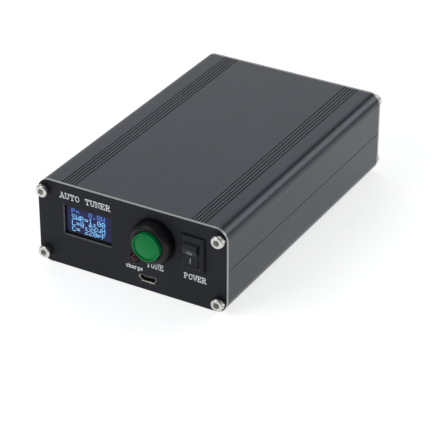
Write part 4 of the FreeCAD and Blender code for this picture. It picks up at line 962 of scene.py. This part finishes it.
def add_coax_contact(side, node):
    """Centre contact: a tube slit into four springs round a solid tail."""
    low, high = corners_of(node)
    centre = centre_of(node)
    outer = (high.x - low.x) / 2
    root = high.y - SLIT_DEPTH
    tail_edge, lead_in = 0.15 * MM, 0.25 * MM
    tail = [
        (low.y + CUP_DEPTH, 0.0), (low.y + CUP_DEPTH, CUP_RADIUS), (low.y, CUP_RADIUS),
        (low.y, outer - tail_edge), (low.y + tail_edge, outer), (root, outer), (root, CONTACT_BORE),
        (high.y - BORE_DEPTH, CONTACT_BORE), (high.y - BORE_DEPTH - BORE_POINT, 0.0),
    ]
    spring = (
        (CONTACT_BORE, root), (outer, root), (outer, high.y - EDGE), (outer - EDGE, high.y),
        (CONTACT_BORE + lead_in, high.y), (CONTACT_BORE, high.y - lead_in),
    )
    bm = bmesh.new()
    add_turned(bm, centre, tail, segments=48)
    steps = 10
    sweep = math.tau / CONTACT_SPRINGS - 2 * HALF_SLIT
    for number in range(CONTACT_SPRINGS):
        start = math.tau * number / CONTACT_SPRINGS + HALF_SLIT + math.pi / CONTACT_SPRINGS
        rows = []
        for step in range(steps + 1):
            angle = start + sweep * step / steps
            heading = Vector((math.cos(angle), 0, math.sin(angle)))
            axis = Vector((centre.x, 0, centre.z))
            rows.append([axis + heading * reach + Vector((0, y, 0)) for reach, y in spring])
        add_loft(bm, rows)
    add_piece(f"{side}_coax_contact", bm, "gold_contact", replaced=[node])


# ---- printed labels ----
def bow(x, z, wide, high, start, end, steps=10):
    """Part of an ellipse as points, angles in degrees from the right, anticlockwise."""
    points = []
    for step in range(steps + 1):
        angle = math.radians(start + (end - start) * step / steps)
        points.append((x + wide * math.cos(angle), z + high * math.sin(angle)))
    return points


STEM = [(0.14, 0), (0.14, 1)]
BOWL = [(0.14, 1)] + bow(0.44, 0.75, 0.26, 0.25, 90, -90) + [(0.14, 0.5)]
FEET = [[(0.0, 0), (0.3, 0)]]
HEAD = [[(0.0, 1), (0.14, 1)]]

# strokes of each letter on a cell one unit high, slab serifs included
LETTERS = {
    "A": [[(0.08, 0), (0.42, 1), (0.76, 0)], [(0.22, 0.34), (0.62, 0.34)], [(-0.04, 0), (0.22, 0)],
          [(0.62, 0), (0.88, 0)], [(0.26, 1), (0.42, 1)]],
    "N": [[(0.14, 0), (0.14, 1), (0.7, 0.02), (0.7, 1)], [(0.0, 0), (0.28, 0)], [(0.0, 1), (0.14, 1)],
          [(0.56, 1), (0.84, 1)]],
    "T": [[(0.42, 0), (0.42, 1)], [(0.06, 0.74), (0.06, 1), (0.78, 1), (0.78, 0.74)], [(0.26, 0), (0.58, 0)]],
    "E": [STEM, [(0.0, 1), (0.72, 1), (0.72, 0.76)], [(0.0, 0), (0.74, 0), (0.74, 0.26)],
          [(0.14, 0.52), (0.48, 0.52)], [(0.48, 0.64), (0.48, 0.4)]],
    "U": [[(0.14, 1), (0.14, 0.32)] + bow(0.42, 0.3, 0.28, 0.3, 180, 360) + [(0.7, 1)], [(0.0, 1), (0.28, 1)],
          [(0.56, 1), (0.84, 1)]],
    "R": [STEM, BOWL, [(0.42, 0.5), (0.7, 0)], [(0.6, 0), (0.88, 0)]] + FEET + HEAD,
    "P": [STEM, BOWL] + FEET + HEAD,
    "O": [bow(0.42, 0.5, 0.34, 0.5, 0, 360, 24)],
    "W": [[(0.08, 1), (0.24, 0), (0.42, 0.66), (0.6, 0), (0.76, 1)], [(-0.04, 1), (0.22, 1)],
          [(0.62, 1), (0.88, 1)]],
    "D": [STEM, [(0.14, 1)] + bow(0.34, 0.5, 0.4, 0.5, 90, -90) + [(0.14, 0)]] + FEET + HEAD,
    "I": [[(0.42, 0), (0.42, 1)], [(0.2, 0), (0.64, 0)], [(0.2, 1), (0.64, 1)]],
    "c": [bow(0.44, 0.34, 0.3, 0.34, 40, 320, 14), [(0.68, 0.58), (0.68, 0.42)]],
    "h": [[(0.14, 0), (0.14, 1)], [(0.02, 1), (0.14, 1)], [(0.0, 0), (0.28, 0)],
          [(0.14, 0.4)] + bow(0.42, 0.42, 0.28, 0.26, 160, 0) + [(0.7, 0)], [(0.56, 0), (0.84, 0)]],
    "a": [bow(0.38, 0.2, 0.26, 0.2, 0, 360, 16), bow(0.4, 0.44, 0.26, 0.24, 150, 0) + [(0.66, 0)],
          [(0.66, 0), (0.82, 0)]],
    "r": [[(0.22, 0), (0.22, 0.66)], [(0.08, 0.66), (0.22, 0.66)], [(0.06, 0), (0.42, 0)],
          [(0.22, 0.42)] + bow(0.54, 0.42, 0.28, 0.26, 160, 50)],
    "g": [bow(0.4, 0.36, 0.28, 0.3, 0, 360, 16), [(0.68, 0.66)] + bow(0.4, -0.08, 0.28, 0.24, 0, -160),
          [(0.68, 0.66), (0.82, 0.66)]],
    "e": [[(0.14, 0.36), (0.7, 0.36)] + bow(0.42, 0.34, 0.28, 0.34, 10, 320, 16)],
}
ADVANCE = 0.98
INK = 0.02 * MM
# strokes that cross lie at slightly different heights, so that none share a face
STROKE_LIFT = 0.0006 * MM
STROKE_LEVELS = 5
SHARPEST_MITRE = 0.5


def add_stroke(bm, points, half, y_front, y_back):
    """Ribbon of even width along the points, with mitred corners, standing on the panel."""
    rows = []
    for index, point in enumerate(points):
        here = Vector(point)
        back = here - Vector(points[index - 1]) if index else None
        ahead = Vector(points[index + 1]) - here if index + 1 < len(points) else None
        inward = (back or ahead).normalized()
        outward = (ahead or back).normalized()
        heading = (inward + outward).normalized()
        side = Vector((-heading.y, heading.x))
        reach = half / max(SHARPEST_MITRE, heading.dot(inward))
        if back is None:
            here = here - heading * half
        if ahead is None:
            here = here + heading * half
        left, right = here + side * reach, here - side * reach
        rows.append([
            Vector((left.x, y_back, left.y)), Vector((left.x, y_front, left.y)),
            Vector((right.x, y_front, right.y)), Vector((right.x, y_back, right.y)),
        ])
    add_loft(bm, rows)


def add_label(name, text, left, baseline, height, pitch, weight, face, outward):
    """Printed word. Seen from behind, its letters run the other way along X."""
    bm = bmesh.new()
    count = 0
    for number, letter in enumerate(text):
        for stroke in LETTERS.get(letter, []):
            points = []
            for x, z in stroke:
                across = left - outward * (number * pitch + x * pitch / ADVANCE)
                points.append((across, baseline + z * height))
            y_front = face + outward * (INK + STROKE_LIFT * (count % STROKE_LEVELS))
            add_stroke(bm, points, weight / 2, y_front, face - outward * INK)
            count += 1
    add_piece(name, bm, "label_ink")


# left end, baseline, letter height, pitch and stroke weight, in millimetres
FRONT_LABELS = (
    ("title_label", "AUTO TUNER", (-33.4, 31.6, 2.35, 2.42, 0.34)),
    ("power_label", "POWER", (24.6, 11.35, 2.3, 2.05, 0.34)),
    ("tune_label", "TUNE", (7.1, 11.2, 2.3, 2.05, 0.34)),
    ("charge_label", "charge", (-2.7, 8.4, 1.7, 1.36, 0.28)),
)


def add_labels():
    for name, text, measures in FRONT_LABELS:
        add_label(name, text, *(measure * MM for measure in measures), FRONT_FACE, -1)
    baseline, height, pitch, weight = 33.2 * MM, 2.3 * MM, 2.1 * MM, 0.3 * MM
    for side in SOCKET_SIDES:
        left = centre_of(f"{side}_socket_shell").x + len(side) * pitch / 2
        add_label(f"{side}_label", side.upper(), left, baseline, height, pitch, weight, BACK_FACE, 1)


# ---- display readout ----
# five columns by seven rows of dots for each character, top row first
GLYPHS = {
    "P": "11110 10001 10001 11110 10000 10000 10000",
    "W": "10001 10001 10001 10101 10101 11011 10001",
    "S": "01111 10000 10000 01110 00001 00001 11110",
    "R": "11110 10001 10001 11110 10100 10010 10001",
    "L": "10000 10000 10000 10000 10000 10000 11111",
    "C": "01110 10001 10000 10000 10000 10001 01110",
    "H": "10001 10001 10001 11111 10001 10001 10001",
    "F": "11111 10000 10000 11110 10000 10000 10000",
    "u": "00000 00000 10001 10001 10001 10011 01101",
    "p": "00000 00000 11110 10001 11110 10000 10000",
    "=": "00000 00000 11111 00000 11111 00000 00000",
    ".": "00000 00000 00000 00000 00000 01100 01100",
    "0": "01110 10001 10011 10101 11001 10001 01110",
    "1": "00100 01100 00100 00100 00100 00100 01110",
    "2": "01110 10001 00001 00110 01000 10000 11111",
    "5": "11111 10000 11110 00001 00001 10001 01110",
}
READOUT = ("P=  0.0W", "SWR=1.00", "L=0.52uH", "C= 220pF")
DOT = 0.34 * MM
DOT_GAP = 0.03 * MM
DOT_BEVEL = 0.004 * MM
COLUMNS_PER_CHARACTER = 6
LINE_PITCH = 2.72 * MM
READOUT_CORNER = WINDOW_CENTRE + Vector((-8.5 * MM, 0, 2 * LINE_PITCH - 0.2 * MM))


def add_readout():
    """Four lines of dots just in front of the display's glass."""
    y_front = low_of("display_glass").y - 0.03 * MM
    y_back = y_front + 0.02 * MM
    side = DOT - DOT_GAP
    for line, text in enumerate(READOUT):
        bm = bmesh.new()
        for place, character in enumerate(text):
            rows = GLYPHS.get(character, "").split()
            for row, dots in enumerate(rows):
                for column, dot in enumerate(dots):
                    if dot == "0":
                        continue
                    x = READOUT_CORNER.x + (place * COLUMNS_PER_CHARACTER + column) * DOT
                    z = READOUT_CORNER.z - line * LINE_PITCH - (row + 1) * DOT
                    add_block(bm, Vector((x, y_front, z)), Vector((x + side, y_back, z + side)), DOT_BEVEL)
        finish = DIM_PIXELS if line == 0 else None
        add_piece(f"readout_line_{line}", bm, "display_pixels", material=finish)


# ---- carried-over CAD nodes ----
SOFTENED = {
    "top_shell": 0.24 * MM, "bottom_shell": 0.24 * MM, "front_panel": 0, "rear_panel": 0,
    "power_switch_frame": 0.15 * MM, "power_switch_rocker": 0.2 * MM, "display_glass": 0.08 * MM,
    "capacitor_relays": 0.3 * MM, "inductor_relays": 0.3 * MM, "board_connectors": 0.2 * MM,
    "charge_parts": 0.08 * MM, "relay_drivers": 0.1 * MM, "tuning_capacitors": 0.2 * MM,
}


def dress_cad_nodes():
    """Gives each CAD node its procedural finish and rounds the edges that show."""
    for entry in frame["record"]["subparts"]:
        for slot in NODES[entry["node"]].material_slots:
            slot.material = FINISHES[entry["material_slot"]]
    for node, width in SOFTENED.items():
        soften(node, width)


# ---- studio ----
FLOOR_HALF_SIZE = 3.0
WORLD_COLOUR = (0.92, 0.96, 1.0, 1)
WORLD_STRENGTH = 0.22
# azimuth, elevation, distance, size, radiance and tint
SOFTBOXES = {
    "back_left_softbox": (-36, 32, 1.4, (1.3, 1.0), 0.8, (1.0, 1.0, 1.0)),
    "back_right_softbox": (34, 26, 1.4, (0.8, 0.6), 2.3, (1.0, 0.99, 0.95)),
    "front_softbox": (214, 38, 0.62, (0.42, 0.3), 2.5, (1.0, 1.0, 1.0)),
}


def add_floor():
    bm = bmesh.new()
    bmesh.ops.create_grid(bm, x_segments=4, y_segments=4, size=FLOOR_HALF_SIZE)
    mesh = bpy.data.meshes.new("studio_floor")
    bm.to_mesh(mesh)
    bm.free()
    mesh.materials.append(studio_floor())
    floor = bpy.data.objects.new("studio_floor", mesh)
    bpy.context.collection.objects.link(floor)


def add_softbox(name, azimuth, elevation, distance, size, radiance, tint):
    """Rectangular light that faces the object. Azimuth 0 is behind the object, 90 on its right."""
    turn, rise = math.radians(azimuth), math.radians(elevation)
    heading = Vector((math.sin(turn) * math.cos(rise), math.cos(turn) * math.cos(rise), math.sin(rise)))
    data = bpy.data.lights.new(name, "AREA")
    data.shape = "RECTANGLE"
    data.size, data.size_y = size
    data.energy = radiance * math.pi * size[0] * size[1]
    data.color = tint
    light = bpy.data.objects.new(name, data)
    light.location = heading * distance
    light.rotation_euler = (-heading).to_track_quat("-Z", "Y").to_euler()
    bpy.context.collection.objects.link(light)


def add_lights():
    world = bpy.data.worlds.new("studio")
    world.use_nodes = True
    background = world.node_tree.nodes["Background"]
    background.inputs["Color"].default_value = WORLD_COLOUR
    background.inputs["Strength"].default_value = WORLD_STRENGTH
    bpy.context.scene.world = world
    bpy.context.scene.view_settings.view_transform = "Standard"
    for name, setting in SOFTBOXES.items():
        add_softbox(name, *setting)


add_camera()
dress_cad_nodes()
add_corner_screws()
add_tune_cap()
add_tune_body()
add_switch_marks()
add_charge_lamp()
add_charging_socket()
for SIDE in SOCKET_SIDES:
    add_coax_socket(SIDE, f"{SIDE}_socket_shell")
    add_coax_contact(SIDE, f"{SIDE}_socket_contact")
add_labels()
add_readout()
add_floor()
add_lights()
